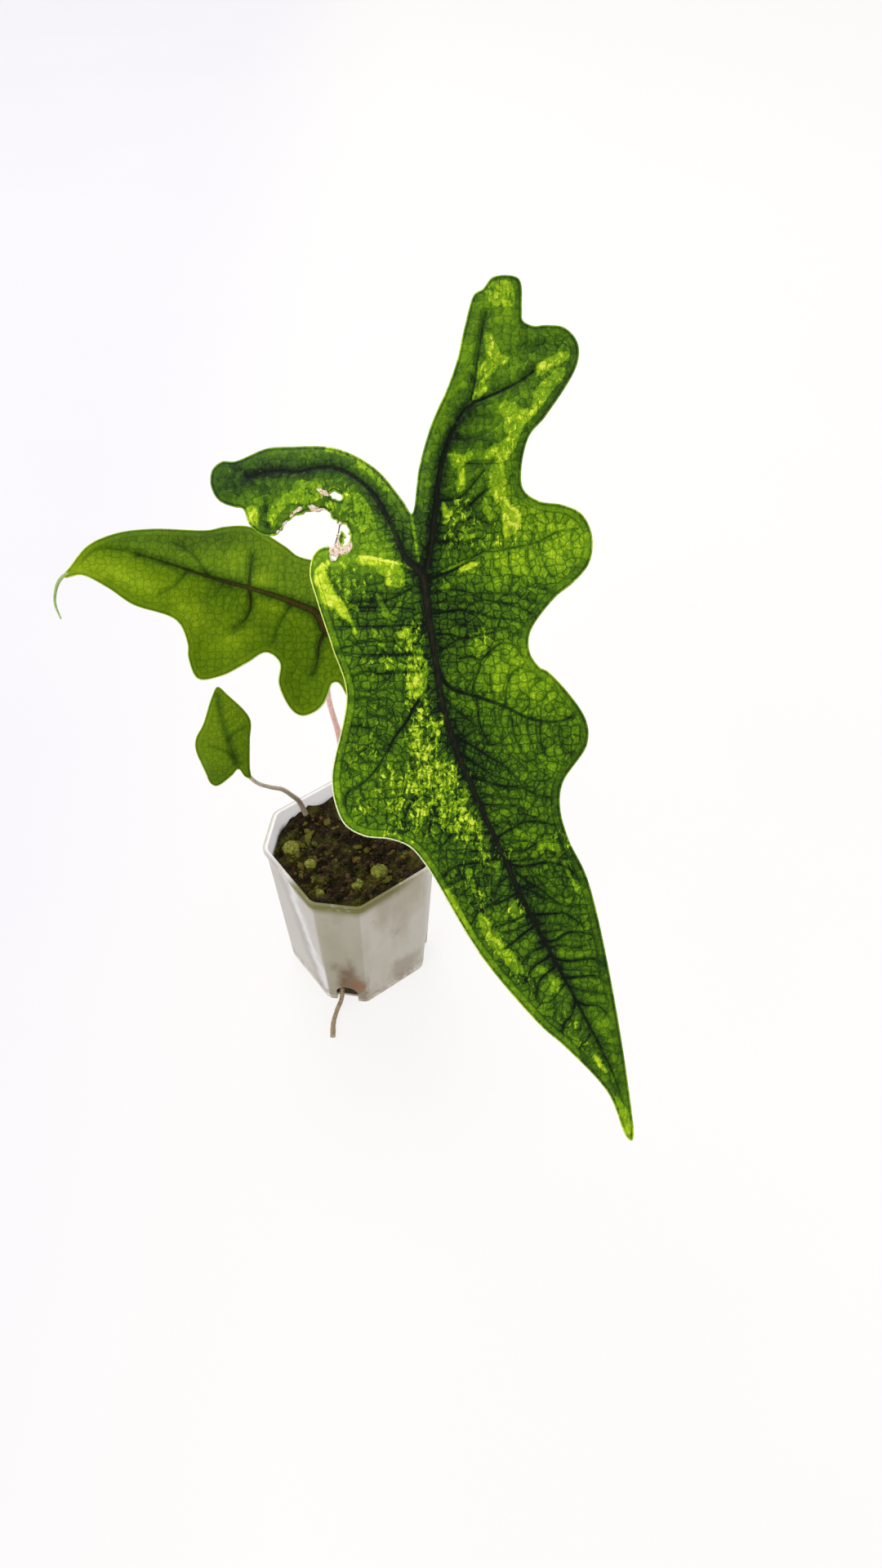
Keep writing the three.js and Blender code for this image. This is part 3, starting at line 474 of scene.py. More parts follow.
# %% Margin and ribs of the large leaf
LARGE = {
    "distance": 288.6, "join": (-4.4, 51.4), "seat": (0.4, -1.2), "height": large_height,
    "outline": [
        (-2.8, 14.8), (-1, 26), (2, 36.6), (5.8, 45.2), (8.4, 52.6), (10.2, 60.6), (12.6, 68.6), (14.6, 69.8),
        (17.2, 72.8), (23.4, 72.4), (24.2, 64.8), (24.4, 62.2), (27, 60.8), (29.8, 61), (34.6, 60.4),
        (37.8, 56.8), (37.8, 51.6), (30.2, 39), (25.8, 33.4), (24.4, 21.2), (28.2, 18), (34, 17),
        (38.8, 14.8), (41.4, 9.4), (40.8, 3), (36.8, -2), (32.2, -5.8), (26.2, -14.4), (26.2, -19.2),
        (28.6, -22.8), (30.8, -24), (39.8, -35.4), (40.2, -41.6), (34.2, -51.2), (33.6, -57.2),
        (35.6, -64.8), (40.4, -75), (49.6, -120.6), (51.2, -138.8), (49.8, -137.8), (45.4, -127.2),
        (34.8, -115.8), (28.8, -110.6), (13.4, -92.4), (0.4, -71), (-3.4, -66.8), (-8, -65),
        (-14.4, -64.2), (-19, -61.6), (-21.4, -56.8), (-22.4, -49.6), (-18.8, -29.4), (-22.2, -18.2),
        (-26.2, -6), (-27.8, 0.4), (-26.6, 5), (-24.4, 6.6), (-23, 6.8), (-22, 6.8), (-21.4, 7.6),
        (-21, 9.2), (-20.5, 10.3), (-19.6, 10.3), (-19.1, 9.3), (-19.4, 8), (-19.8, 7), (-18.8, 7.3),
        (-17.7, 8.2), (-18.1, 10), (-18.6, 11.8), (-19.4, 12.6), (-20.5, 12), (-21.2, 12.8), (-22.4, 14.2),
        (-23.8, 15.7), (-25.8, 15.5), (-28.2, 15.2), (-30.4, 14.6), (-32.4, 13.7), (-33.8, 12.2),
        (-34.8, 11), (-35.8, 9.8), (-37.4, 9.4), (-39.8, 9.8), (-42.4, 12), (-44.2, 16),
        (-46.2, 16.4), (-50, 18), (-52, 21.8), (-51.6, 25.6), (-49.2, 27.6), (-46.2, 27.6),
        (-38.2, 30.8), (-32.6, 31.2), (-21.4, 30.8), (-11.6, 25.8), (-5.2, 18.2)],
    "holes": [
        [(-23.2, 19.5), (-22.4, 20), (-21.4, 20.2), (-20.4, 19.8), (-19.9, 19), (-20, 18.4), (-20.8, 18),
         (-21.6, 18.4), (-22.4, 18.8)],
        [(-22.4, 4.5), (-21.6, 4.5), (-21.5, 3.6), (-22.4, 3.5)]],
    "torn": [(-21, 9, 6, 7, 0), (-30, 14.4, 10, 4, 15), (-23, 19.6, 4, 1.8, -15)],
    "ribs": [
        ([(0, 0), (0.8, -6.6), (1.6, -11.6), (3.2, -21.8), (4.6, -31.4), (9, -45.2), (17.6, -64.8),
          (25.4, -81.8), (35.4, -100.6), (47, -123.4), (50, -134)], 2.0, 0.5),
        ([(1.2, 2), (2.4, 10), (3.6, 22), (5.4, 30), (8, 36.6), (11.6, 41.6), (16, 43.6), (20, 45.4),
          (24, 47.6), (27.4, 50)], 1.5, 0.5),
        ([(11.6, 41.6), (12.8, 47), (13.6, 54), (14.6, 60), (15.4, 64)], 0.6, 0.3),
        ([(-0.6, 0), (-4.6, 4.4), (-6.6, 9), (-9.4, 15), (-13, 20.6), (-17, 24), (-22, 26.2), (-27, 26),
          (-31, 25.2), (-37, 25.4), (-43, 23.8)], 1.6, 0.5)],
    "pale_veins": [
        ([(-2.8, 1.2), (-5.2, 2.4), (-8.6, 3.2), (-13, 4), (-15.6, 4.2)], 0.5, 0.3),
        ([(5, 0.7), (8.4, 2.2), (14, 4.6)], 0.5, 0.2), ([(-2.8, 14.4), (-2, 9.2), (-1, 3)], 0.4, 0.3),
        ([(8.2, 37), (10.4, 40.2), (12.2, 43.2), (13.2, 48), (13.6, 52)], 0.3, 0.2),
        ([(6, 0.9), (12, 3.6), (16, 5.7), (20, 6.3)], 0.1, 0.1)],
    "side_ribs": LARGE_VEINS,
}
print(f"large leaf: {len(LARGE['outline'])} points of margin, {len(LARGE['ribs'])} ribs")

# %% [markdown]
# ## The flat plan of a blade
# The margin could be filled with a few long triangles, but a blade needs thousands of small even faces to
# bend and to carry its veins. So a fine grid is trimmed to the margin, and the vertices left on its
# stepped edge are drawn onto the margin itself.

# %% The flat plan of a blade
def rows_inside(loops, xs, ys):
    inside = np.zeros((len(ys), len(xs)), bool)
    for row, y in enumerate(ys):
        crossings = []
        for a in loops:
            b = np.roll(a, -1, 0)
            hit = (a[:, 1] > y) != (b[:, 1] > y)
            crossings.extend(a[hit, 0] + (b - a)[hit, 0] * (y - a[hit, 1]) / (b - a)[hit, 1])
        inside[row] = np.searchsorted(np.sort(crossings), xs) % 2 == 1
    return inside


def within(loop, places):
    x, y = places[:, :1], places[:, 1:]
    a, b = loop, np.roll(loop, -1, 0)
    hit = (a[:, 1] > y) != (b[:, 1] > y)
    run = np.where(a[:, 1] == b[:, 1], 1, b[:, 1] - a[:, 1])
    return (hit & (a[:, 0] + (b[:, 0] - a[:, 0]) * (y - a[:, 1]) / run > x)).sum(1) % 2 == 1


def join_corners(inside):
    while True:
        a, b, c, d = inside[:-1, :-1], inside[:-1, 1:], inside[1:, :-1], inside[1:, 1:]
        touching = (a & d & ~b & ~c) | (b & c & ~a & ~d)
        if not touching.any():
            return inside
        for corner in (a, b, c, d):
            corner |= touching


def trimmed_grid(loops, cell):
    low, high = loops[0].min(0) - cell, loops[0].max(0) + cell
    across, along = np.ceil((high - low) / cell).astype(int)
    centres = [low[k] + (np.arange(n) + 0.5) * cell for k, n in enumerate((across, along))]
    inside = join_corners(rows_inside(loops, *centres))
    sheet = bmesh.new()
    middle = Vector((low[0] + across * cell / 2, low[1] + along * cell / 2, 0))
    bmesh.ops.create_grid(sheet, x_segments=int(across), y_segments=int(along), size=0.5,
                          matrix=Matrix.LocRotScale(middle, None, (across * cell, along * cell, 1)))
    spare = []
    for face in sheet.faces:
        x, y, _ = face.calc_center_median()
        if not inside[int((y - low[1]) / cell), int((x - low[0]) / cell)]:
            spare.append(face)
    bmesh.ops.delete(sheet, geom=spare, context="FACES")
    rim = [v for v in sheet.verts if v.is_boundary]
    edge = np.vstack(loops)
    _, index = nearest(edge, [v.co.xy for v in rim])
    for v, k in zip(rim, index):
        v.co.xy = edge[k]
    beside = {w for v in rim for e in v.link_edges for w in e.verts} - set(rim)
    bmesh.ops.smooth_vert(sheet, verts=list(beside), factor=0.5, use_axis_x=True, use_axis_y=True)
    return sheet


def with_underside(sheet):
    flat = sheet.faces[:]
    made = bmesh.ops.extrude_face_region(sheet, geom=flat + sheet.edges[:], use_keep_orig=True)
    bmesh.ops.translate(sheet, verts=new_points(made), vec=(0, 0, 1))
    bmesh.ops.recalc_face_normals(sheet, faces=sheet.faces[:])
    return sheet


print("inside the large leaf's margin:", within(np.array(LARGE["outline"]), np.array([(0, -30), (90, 0)])))

# %% [markdown]
# ## Growing the fine veins
# From each rib and each strong side vein, fine veins leave almost square to it every few millimetres,
# lean over slowly, and run on until they meet another vein or the one along the margin. Marching each in
# small steps with a little wander gives the ladders and joints of a real blade, with no two alike.

# %% Growing the fine veins
VEIN_STEP = 0.5
MOST_STEPS = 110
MARGIN_VEIN = 2.1  # how far in from the margin the collecting vein runs
VEIN_ROOM = 0.65  # a fine vein that comes this close to another one joins it
BEARING_WIDTH = 0.7  # only side veins at least this wide at their foot bear fine veins
FAR_OFF = 9  # stands for a gap that doesn't count


def margin_gap(loops, tree, place):
    odd = sum(within(loop, place[None])[0] for loop in loops) % 2
    return tree.find((*place, 0))[2] if odd else -1.0


def grow_veins(leaf, loops, spacing, seed):
    random = np.random.default_rng(seed)
    edge = tree_of(np.vstack(loops))
    veins = leaf["side_ribs"] + leaf["ribs"]
    parents = [smooth_line(line, 0.4) for line, _, _ in veins]
    taken = np.vstack(parents)
    owner = np.concatenate([np.full(len(p), i) for i, p in enumerate(parents)])
    grown = []
    for mother, line in enumerate(parents):
        if veins[mother][1] < BEARING_WIDTH:
            continue
        lengths = np.concatenate([[0], np.cumsum(np.linalg.norm(np.diff(line, axis=0), axis=1))])
        for side in (1, -1):
            start = spacing * random.uniform(0.3, 0.9)
            while start < lengths[-1] - 1:
                here = np.searchsorted(lengths, start)
                start += spacing * random.uniform(0.8, 1.2)
                forward = line[min(here + 2, len(line) - 1)] - line[max(here - 2, 0)]
                turn = math.atan2(forward[1], forward[0]) + side * math.radians(random.uniform(70, 82))
                vein = [line[here]]
                for step in range(MOST_STEPS):
                    turn += -side * math.radians(random.uniform(-0.4, 1.5)) + random.normal(0, 0.08)
                    place = vein[-1] + VEIN_STEP * np.array([math.cos(turn), math.sin(turn)])
                    if margin_gap(loops, edge, place) < MARGIN_VEIN:
                        break
                    gap = np.hypot(*(taken - place).T)
                    if step < 6:
                        gap = np.where(owner == mother, FAR_OFF, gap)
                    vein.append(place)
                    if gap.min() < VEIN_ROOM:
                        vein.append(taken[gap.argmin()])
                        break
                if len(vein) > 5:
                    grown.append((np.array(vein), random.uniform(0.1, 0.5), 0.1))
                    taken = np.vstack([taken, vein[1:-1]])
                    owner = np.concatenate([owner, np.full(len(vein) - 2, -1)])
    return grown


print(f"a fine vein grows {VEIN_STEP * MOST_STEPS:.0f} mm at most")

# %% [markdown]
# ## Measuring on a blade
# Every vertex has to know how far it is from each kind of vein, and which marks it lies in. An outline or
# an oval fades out over a short way, so that no mark ends in a hard step. A torn margin gets small teeth
# from a noise that is always laid out in the same way.

# %% Measuring on a blade
JAG_OFTEN, JAG_SIZE = 1.3, 0.55  # how close the teeth of a torn margin are, and how long


def vein_edges(veins, places, step=0.15):
    lines, halves = [], []
    for line, foot, tip in veins:
        line = smooth_line(line, step)
        lines.append(line)
        halves.append(np.linspace(foot, tip, len(line)) / 2)
    gap, index = nearest(np.vstack(lines), places)
    return gap - np.concatenate(halves)[index], gap


def oval_reach(places, x, y, long, wide, turn):
    angle = math.radians(turn)
    along = (places[:, 0] - x) * math.cos(angle) + (places[:, 1] - y) * math.sin(angle)
    aside = (places[:, 1] - y) * math.cos(angle) - (places[:, 0] - x) * math.sin(angle)
    return np.hypot(along / long, aside / wide)


def patches(places, marks):
    shown = np.zeros(len(places))
    for *oval, strength in marks:
        shown = np.maximum(shown, strength * ease(-oval_reach(places, *oval), -1.7, -0.5))
    return shown


def areas(places, rows):
    shown = np.zeros(len(places))
    for strength, *flat in rows:
        loop = smooth_line(np.reshape(flat, (-1, 2)), 0.3, closed=True)
        near = np.flatnonzero(np.all((places > loop.min(0) - 1) & (places < loop.max(0) + 1), axis=1))
        gap, _ = nearest(loop, places[near])
        deep = np.where(within(loop, places[near]), gap, -gap)
        shown[near] = np.maximum(shown[near], strength * ease(deep, -0.5, 0.4))
    return shown


def shades(places, marks):
    shown = np.zeros(len(places))
    for *oval, shift in marks:
        shown = shown + shift * np.exp(-oval_reach(places, *oval) ** 2)
    return shown


def ragged(line, torn):
    noise.seed_set(3)  # else the noise is laid out anew, by the clock, in each run
    share = np.max([ease(-oval_reach(line, *oval), -1, -0.7) for oval in torn], axis=0)
    jag = np.array([noise.noise_vector(Vector((x * JAG_OFTEN, y * JAG_OFTEN, 0)))[:2] for x, y in line])
    return line + jag * JAG_SIZE * share[:, None]


teeth = ragged(np.array([(-20.4, 9.0)]), LARGE["torn"]) - (-20.4, 9.0)
print(f"a point in the tear is moved by {np.hypot(*teeth[0]):.2f} mm")

# %% [markdown]
# ## Making a blade
# The plan gets its underside, and then every vertex gets its place: the curved sheet, minus a groove
# along each vein on top, plus a ridge below it, and a slight swelling of the tissue in between. The same
# distances are stored on the vertices, so that the finish can paint each vein exactly in its groove.

# %% Making a blade
RIB_SINK, RIB_RISE, RIB_HALF = 0.35, 0.7, 1.1
SIDE_DEEP, SIDE_HALF = 0.18, 0.45  # the groove of a side vein
FINE_DEEP, FINE_HALF = 0.11, 0.35  # the groove of a fine vein
SWELL = 0.2  # how far the tissue stands up between the veins
EDGE_THIN, EDGE_REACH = 0.45, 1.6  # the margin's share of the thickness, and how far in it is full


def make_blade(name, node, leaf, cell, finish, marks, spacing=2.2, seed=1, band=1.0):
    loops = [smooth_line(leaf["outline"], 0.12, closed=True)]
    loops += [smooth_line(hole, 0.12, closed=True) for hole in leaf["holes"]]
    if "torn" in leaf:
        loops = [ragged(line, leaf["torn"]) for line in loops]
    sheet = with_underside(trimmed_grid(loops, cell))
    plan = np.array([v.co for v in sheet.verts])
    places, top = plan[:, :2], plan[:, 2] > 0.5
    x, y = places.T
    fine = grow_veins(leaf, loops, spacing, seed)
    rib, rib_gap = vein_edges(leaf["ribs"], places)
    side, _ = vein_edges(leaf["side_ribs"], places)
    tiny, _ = vein_edges(fine, places)
    pale = vein_edges(leaf["pale_veins"], places)[0] if "pale_veins" in leaf else rib + 9
    margin, _ = nearest(np.vstack(loops), places)
    groove = np.maximum(0, 1 - rib_gap / RIB_HALF)
    low = (SIDE_DEEP * np.exp(-(np.maximum(side, 0) / SIDE_HALF) ** 2)
           + FINE_DEEP * np.exp(-(np.maximum(tiny, 0) / FINE_HALF) ** 2))
    swell = SWELL * ease(np.minimum(np.minimum(side, tiny), rib), 0, 1.1) * ease(margin, 0.5, 2.5)
    thick = LEAF_THICK * (EDGE_THIN + (1 - EDGE_THIN) * ease(margin, 0, EDGE_REACH))
    rise = np.where(top, -RIB_SINK * groove - low + swell, -thick - RIB_RISE * groove - low + swell)
    shape = blade_point(leaf, x, y) + blade_normal(leaf, x, y) * rise[:, None]
    mesh = piece_from(name, sheet, finish, node, unit=1).data
    mesh.vertices.foreach_set("co", (shape * MM).astype(np.float32).ravel())
    # The tone is darkened beside the ribs and the side veins: painted shade of their grooves.
    tone = 0.5 + shades(places, marks.get("tone", [])) - 0.2 * np.exp(-(np.maximum(rib, 0) / 1.3) ** 2)
    tone -= 0.1 * np.exp(-(np.maximum(side, 0) / 0.8) ** 2)
    low_left, basal = (x < 3 - 0.3 * y) & (y < 3), (x < -4) & (y > 3)
    tone -= np.select([low_left, basal], [-0.06, 0.02], 0.12) * ease(-margin, -2.2, -1.6) * band
    lit_edge = np.where((x < 0.147 * np.maximum(0, -y)) & (y < 3), 1.0 + 0.6 * ease(-y, 30, 50), 0.4)
    values = {"rib": rib, "side_vein": side, "fine_vein": tiny, "pale_vein": pale, "margin": margin,
              "under": ~top, "tone": tone, "lit_edge": lit_edge, "sun": patches(places, marks.get("sun", [])),
              "splash": areas(places, marks.get("lime", [])), "calm": patches(places, marks.get("calm", [])),
              "dead": areas(places, marks.get("dry", []))}
    for key, value in values.items():
        mesh.attributes.new(key, "FLOAT", "POINT").data.foreach_set("value", value.astype(np.float32))
    corner = np.zeros(len(mesh.loops), np.int32)
    mesh.loops.foreach_get("vertex_index", corner)
    flat_map = mesh.uv_layers.new(name="leaf_plan")
    flat_map.data.foreach_set("uv", places[corner].astype(np.float32).ravel())
    mesh.update()
    print(f"{name}: {len(mesh.polygons)} faces, {len(fine)} fine veins")


print(f"a blade is {LEAF_THICK * EDGE_THIN:.2f} mm thick at its margin and {LEAF_THICK} mm inside")

# %% [markdown]
# ## Finish of the blades
# A blade is lit through, so its green depends on what lies in it: dark over the ribs, lighter in the wide
# lobes, broken into small cells by a net of veins. All of that is reckoned as one number, the tone, and a
# colour ramp turns the tone into a green, from nearly black to pale yellow. The net comes from a cell
# pattern, used twice, coarse and fine, and bent a little by noise so that no side is straight. Where the
# plant lacks its green, flecks and whole cells of a paler tone gather in patches given for each leaf.

# %% Pattern and tone of a blade
def leaf_pattern(tree, net):
    plan = put(tree, "UVMap", uv_map="leaf_plan")
    wander = put(tree, "TexNoise", {"Vector": plan, "Scale": 0.5, "Detail": 3.0}, out=1)
    shift = put(tree, "VectorMath", {0: wander, 1: (0.5, 0.5, 0.5)}, operation="SUBTRACT")
    bent = put(tree, "VectorMath", {0: shift, 1: (2.4, 2.4, 0), 2: plan}, operation="MULTIPLY_ADD")
    brushed = put(tree, "Mapping", {0: bent, 2: (0, 0, -0.32), 3: (1.5, 0.75, 1)})
    along_rib = put(tree, "Mapping", {0: plan, 2: (0, 0, 0.42), 3: (2.2, 0.25, 1)})

    def cells(scale, feature, out):
        return put(tree, "TexVoronoi", {"Vector": bent, "Scale": scale, "Randomness": 0.65}, out=out,
                   voronoi_dimensions="2D", feature=feature)

    return {
        "coarse": soft_step(tree, cells(net, "DISTANCE_TO_EDGE", 0), 0.01, 0.16, 1, 0),
        "small": soft_step(tree, cells(net * 2.2, "DISTANCE_TO_EDGE", 0), 0.0, 0.18, 1, 0),
        "own": put(tree, "SeparateColor", {0: cells(net, "F1", 1)}),
        "small_own": put(tree, "SeparateColor", {0: cells(net * 2.2, "F1", 1)}),
        "broad": speckle(tree, plan, 0.08, 3.0), "grain": speckle(tree, plan, 5.0, 3.0, 0.6),
        "drift": speckle(tree, brushed, 0.3, 4.0, 0.6), "flecks": speckle(tree, brushed, 0.85, 4.0, 0.64),
        "streaks": speckle(tree, along_rib, 1.0, 2.0), "pith": speckle(tree, plan, 1.2, 3.0, 0.7)}


def leaf_tone(tree, at, crisp):
    tone = total(tree, -0.6 * crisp, (at["tone"], 1.0), (at["broad"], 0.3 * crisp),
                 (at["own"], 0.14 * crisp), (at["small_own"], 0.1 * crisp), (at["flecks"], 0.4 * crisp),
                 (at["grain"], 0.3 * crisp))
    lack = total(tree, -1.67 - 0.2 / crisp, (at["sun"], 0.78), (at["drift"], 1.8), (at["flecks"], 1.7),
                 (at["small_own"], 0.15))
    solid = total(tree, -1.2, (at["splash"], 1.0), (at["drift"], 1.2), (at["flecks"], 1.2))
    lack = total(tree, 0.0, (soft_step(tree, lack, 0.5, 0.56), 0.3),
                 (soft_step(tree, lack, 0.68, 0.78), 0.26))
    solid = total(tree, 0.0, (soft_step(tree, solid, 0.46, 0.54), 0.21),
                  (soft_step(tree, solid, 0.98, 1.12), 0.22))
    return total(tree, tone, (stronger(tree, lack, solid), 1.0), (at["sun"], -0.15))


def leaf_lines(tree, at, crisp, rib_dark):
    lines = stronger(tree, times(tree, at["coarse"], 0.29 * crisp), times(tree, at["small"], 0.14 * crisp))
    lines = stronger(tree, lines, soft_step(tree, at["fine_vein"], -0.1, 0.3, 0.3 * crisp, 0))
    quiet = stronger(tree, at["calm"], soft_step(tree, at["splash"], 0.5, 1.1, 0, 1.2))
    lines = times(tree, lines, reckon(tree, "MULTIPLY_ADD", quiet, -0.65, 1.0))
    lines = stronger(tree, lines, soft_step(tree, at["side_vein"], -0.28, 0.3, 0.42 * crisp, 0))
    lines = stronger(tree, lines, soft_step(tree, at["rib"], -0.4, 0.3, rib_dark, 0))
    collect = times(tree, soft_step(tree, at["margin"], 1.7, 2.05),
                    soft_step(tree, at["margin"], 2.15, 2.5, 0.22 * crisp, 0))
    collect = times(tree, collect, reckon(tree, "MULTIPLY_ADD", at["calm"], -0.8, 1.0))
    inner = soft_step(tree, at["margin"], 1.5, 2.2, 0.25, 1)
    return times(tree, stronger(tree, lines, collect), inner)


STORED = ("rib", "side_vein", "fine_vein", "pale_vein", "margin", "under", "tone", "sun", "splash", "calm",
          "dead")
print(f"a blade's finish reads {len(STORED) + 1} values stored on its vertices")

# %% [markdown]
# The rest of the finish goes on top: a thin dark seam and a lit edge along the margin, the brown bare
# skin of the ribs, the papery dead tissue, and the paler underside.

# %% Finish of the blades
def blade_finish(name, greens, net, rib_brown, crisp=1.0, rib_dark=0.44, shine=0.08):
    finish, tree, shader = new_finish(name)
    at = leaf_pattern(tree, net) | {key: stored(tree, key) for key in STORED}
    rib, margin, calm, under, grain, flecks = (
        at[key] for key in ("rib", "margin", "calm", "under", "grain", "flecks"))
    seam = times(tree, soft_step(tree, margin, 0.25, 0.45), soft_step(tree, margin, 0.55, 0.9, 0.16, 0))
    edge = times(tree, soft_step(tree, margin, 0.12, 0.4), stored(tree, "lit_edge"))
    edge = reckon(tree, "SUBTRACT", stored(tree, "lit_edge"), edge)
    tone = total(tree, leaf_tone(tree, at, crisp), (leaf_lines(tree, at, crisp, rib_dark), -1.0),
                 (seam, -1.0), (edge, 0.7), (soft_step(tree, at["pale_vein"], -0.1, 0.4, 0.34, 0), 1.0))
    green = ramp(tree, total(tree, tone, (soft_step(tree, rib, -0.8, -0.3, 0.1, 0), 1.0)), greens)
    green = mixed(tree, soft_step(tree, edge, 0.8, 1.4, 0, 0.9), green, tint(244, 247, 236))
    on_rib = soft_step(tree, total(tree, -0.35, (rib, 1.0), (grain, 0.9)), -0.7, 0.1, 1, 0)
    brown = soft_step(tree, at["streaks"], 0.4, 0.62, 0.15, 0.9)
    bare = times(tree, on_rib, total(tree, 0.4 - 0.4 * crisp, (brown, 1.0), (calm, -0.3)))
    green = mixed(tree, bare, green, rib_brown)

    pith = ramp(tree, at["pith"], [
        (0.36, tint(128, 90, 52)), (0.43, tint(196, 170, 128)), (0.5, tint(230, 216, 196)),
        (0.56, tint(226, 178, 158)), (0.62, tint(250, 250, 246))])
    gone = total(tree, -0.8, (at["dead"], 1.0), (flecks, 1.2), (grain, 0.5))
    green = mixed(tree, soft_step(tree, gone, 0.48, 0.6), green, pith)
    back = mixed(tree, 0.5, green, tint(112, 140, 62))
    back = mixed(tree, soft_step(tree, rib, -0.2, 0.6, 0.7, 0), back, tint(150, 138, 92))
    raised = total(tree, 0.0, (grain, 0.3), (flecks, 0.3), (at["coarse"], -0.5), (at["small"], -0.3))
    dress(tree, shader, mixed(tree, under, green, back), total(tree, 0.42, (grain, 0.16), (under, 0.15)),
          raised, 0.8, 0.0003, shine)
    print(f"{name}: {len(tree.nodes)} nodes")
    return finish


GREENS = [(0.0, tint(8, 18, 6)), (0.16, tint(28, 52, 8)), (0.36, tint(58, 92, 8)), (0.58, tint(102, 142, 10)),
          (0.76, tint(142, 178, 20)), (0.9, tint(192, 214, 34)), (1.0, tint(222, 232, 84))]
marbled = blade_finish("marbled_blade", GREENS, 0.46, tint(44, 38, 24))

# %% [markdown]
# ## Marks on the large leaf
# Where the blade lacks its green it shows patches of lime. Noise alone would scatter them anywhere, so
# each patch is an outline here: its strength, then x and y of each point in turn.

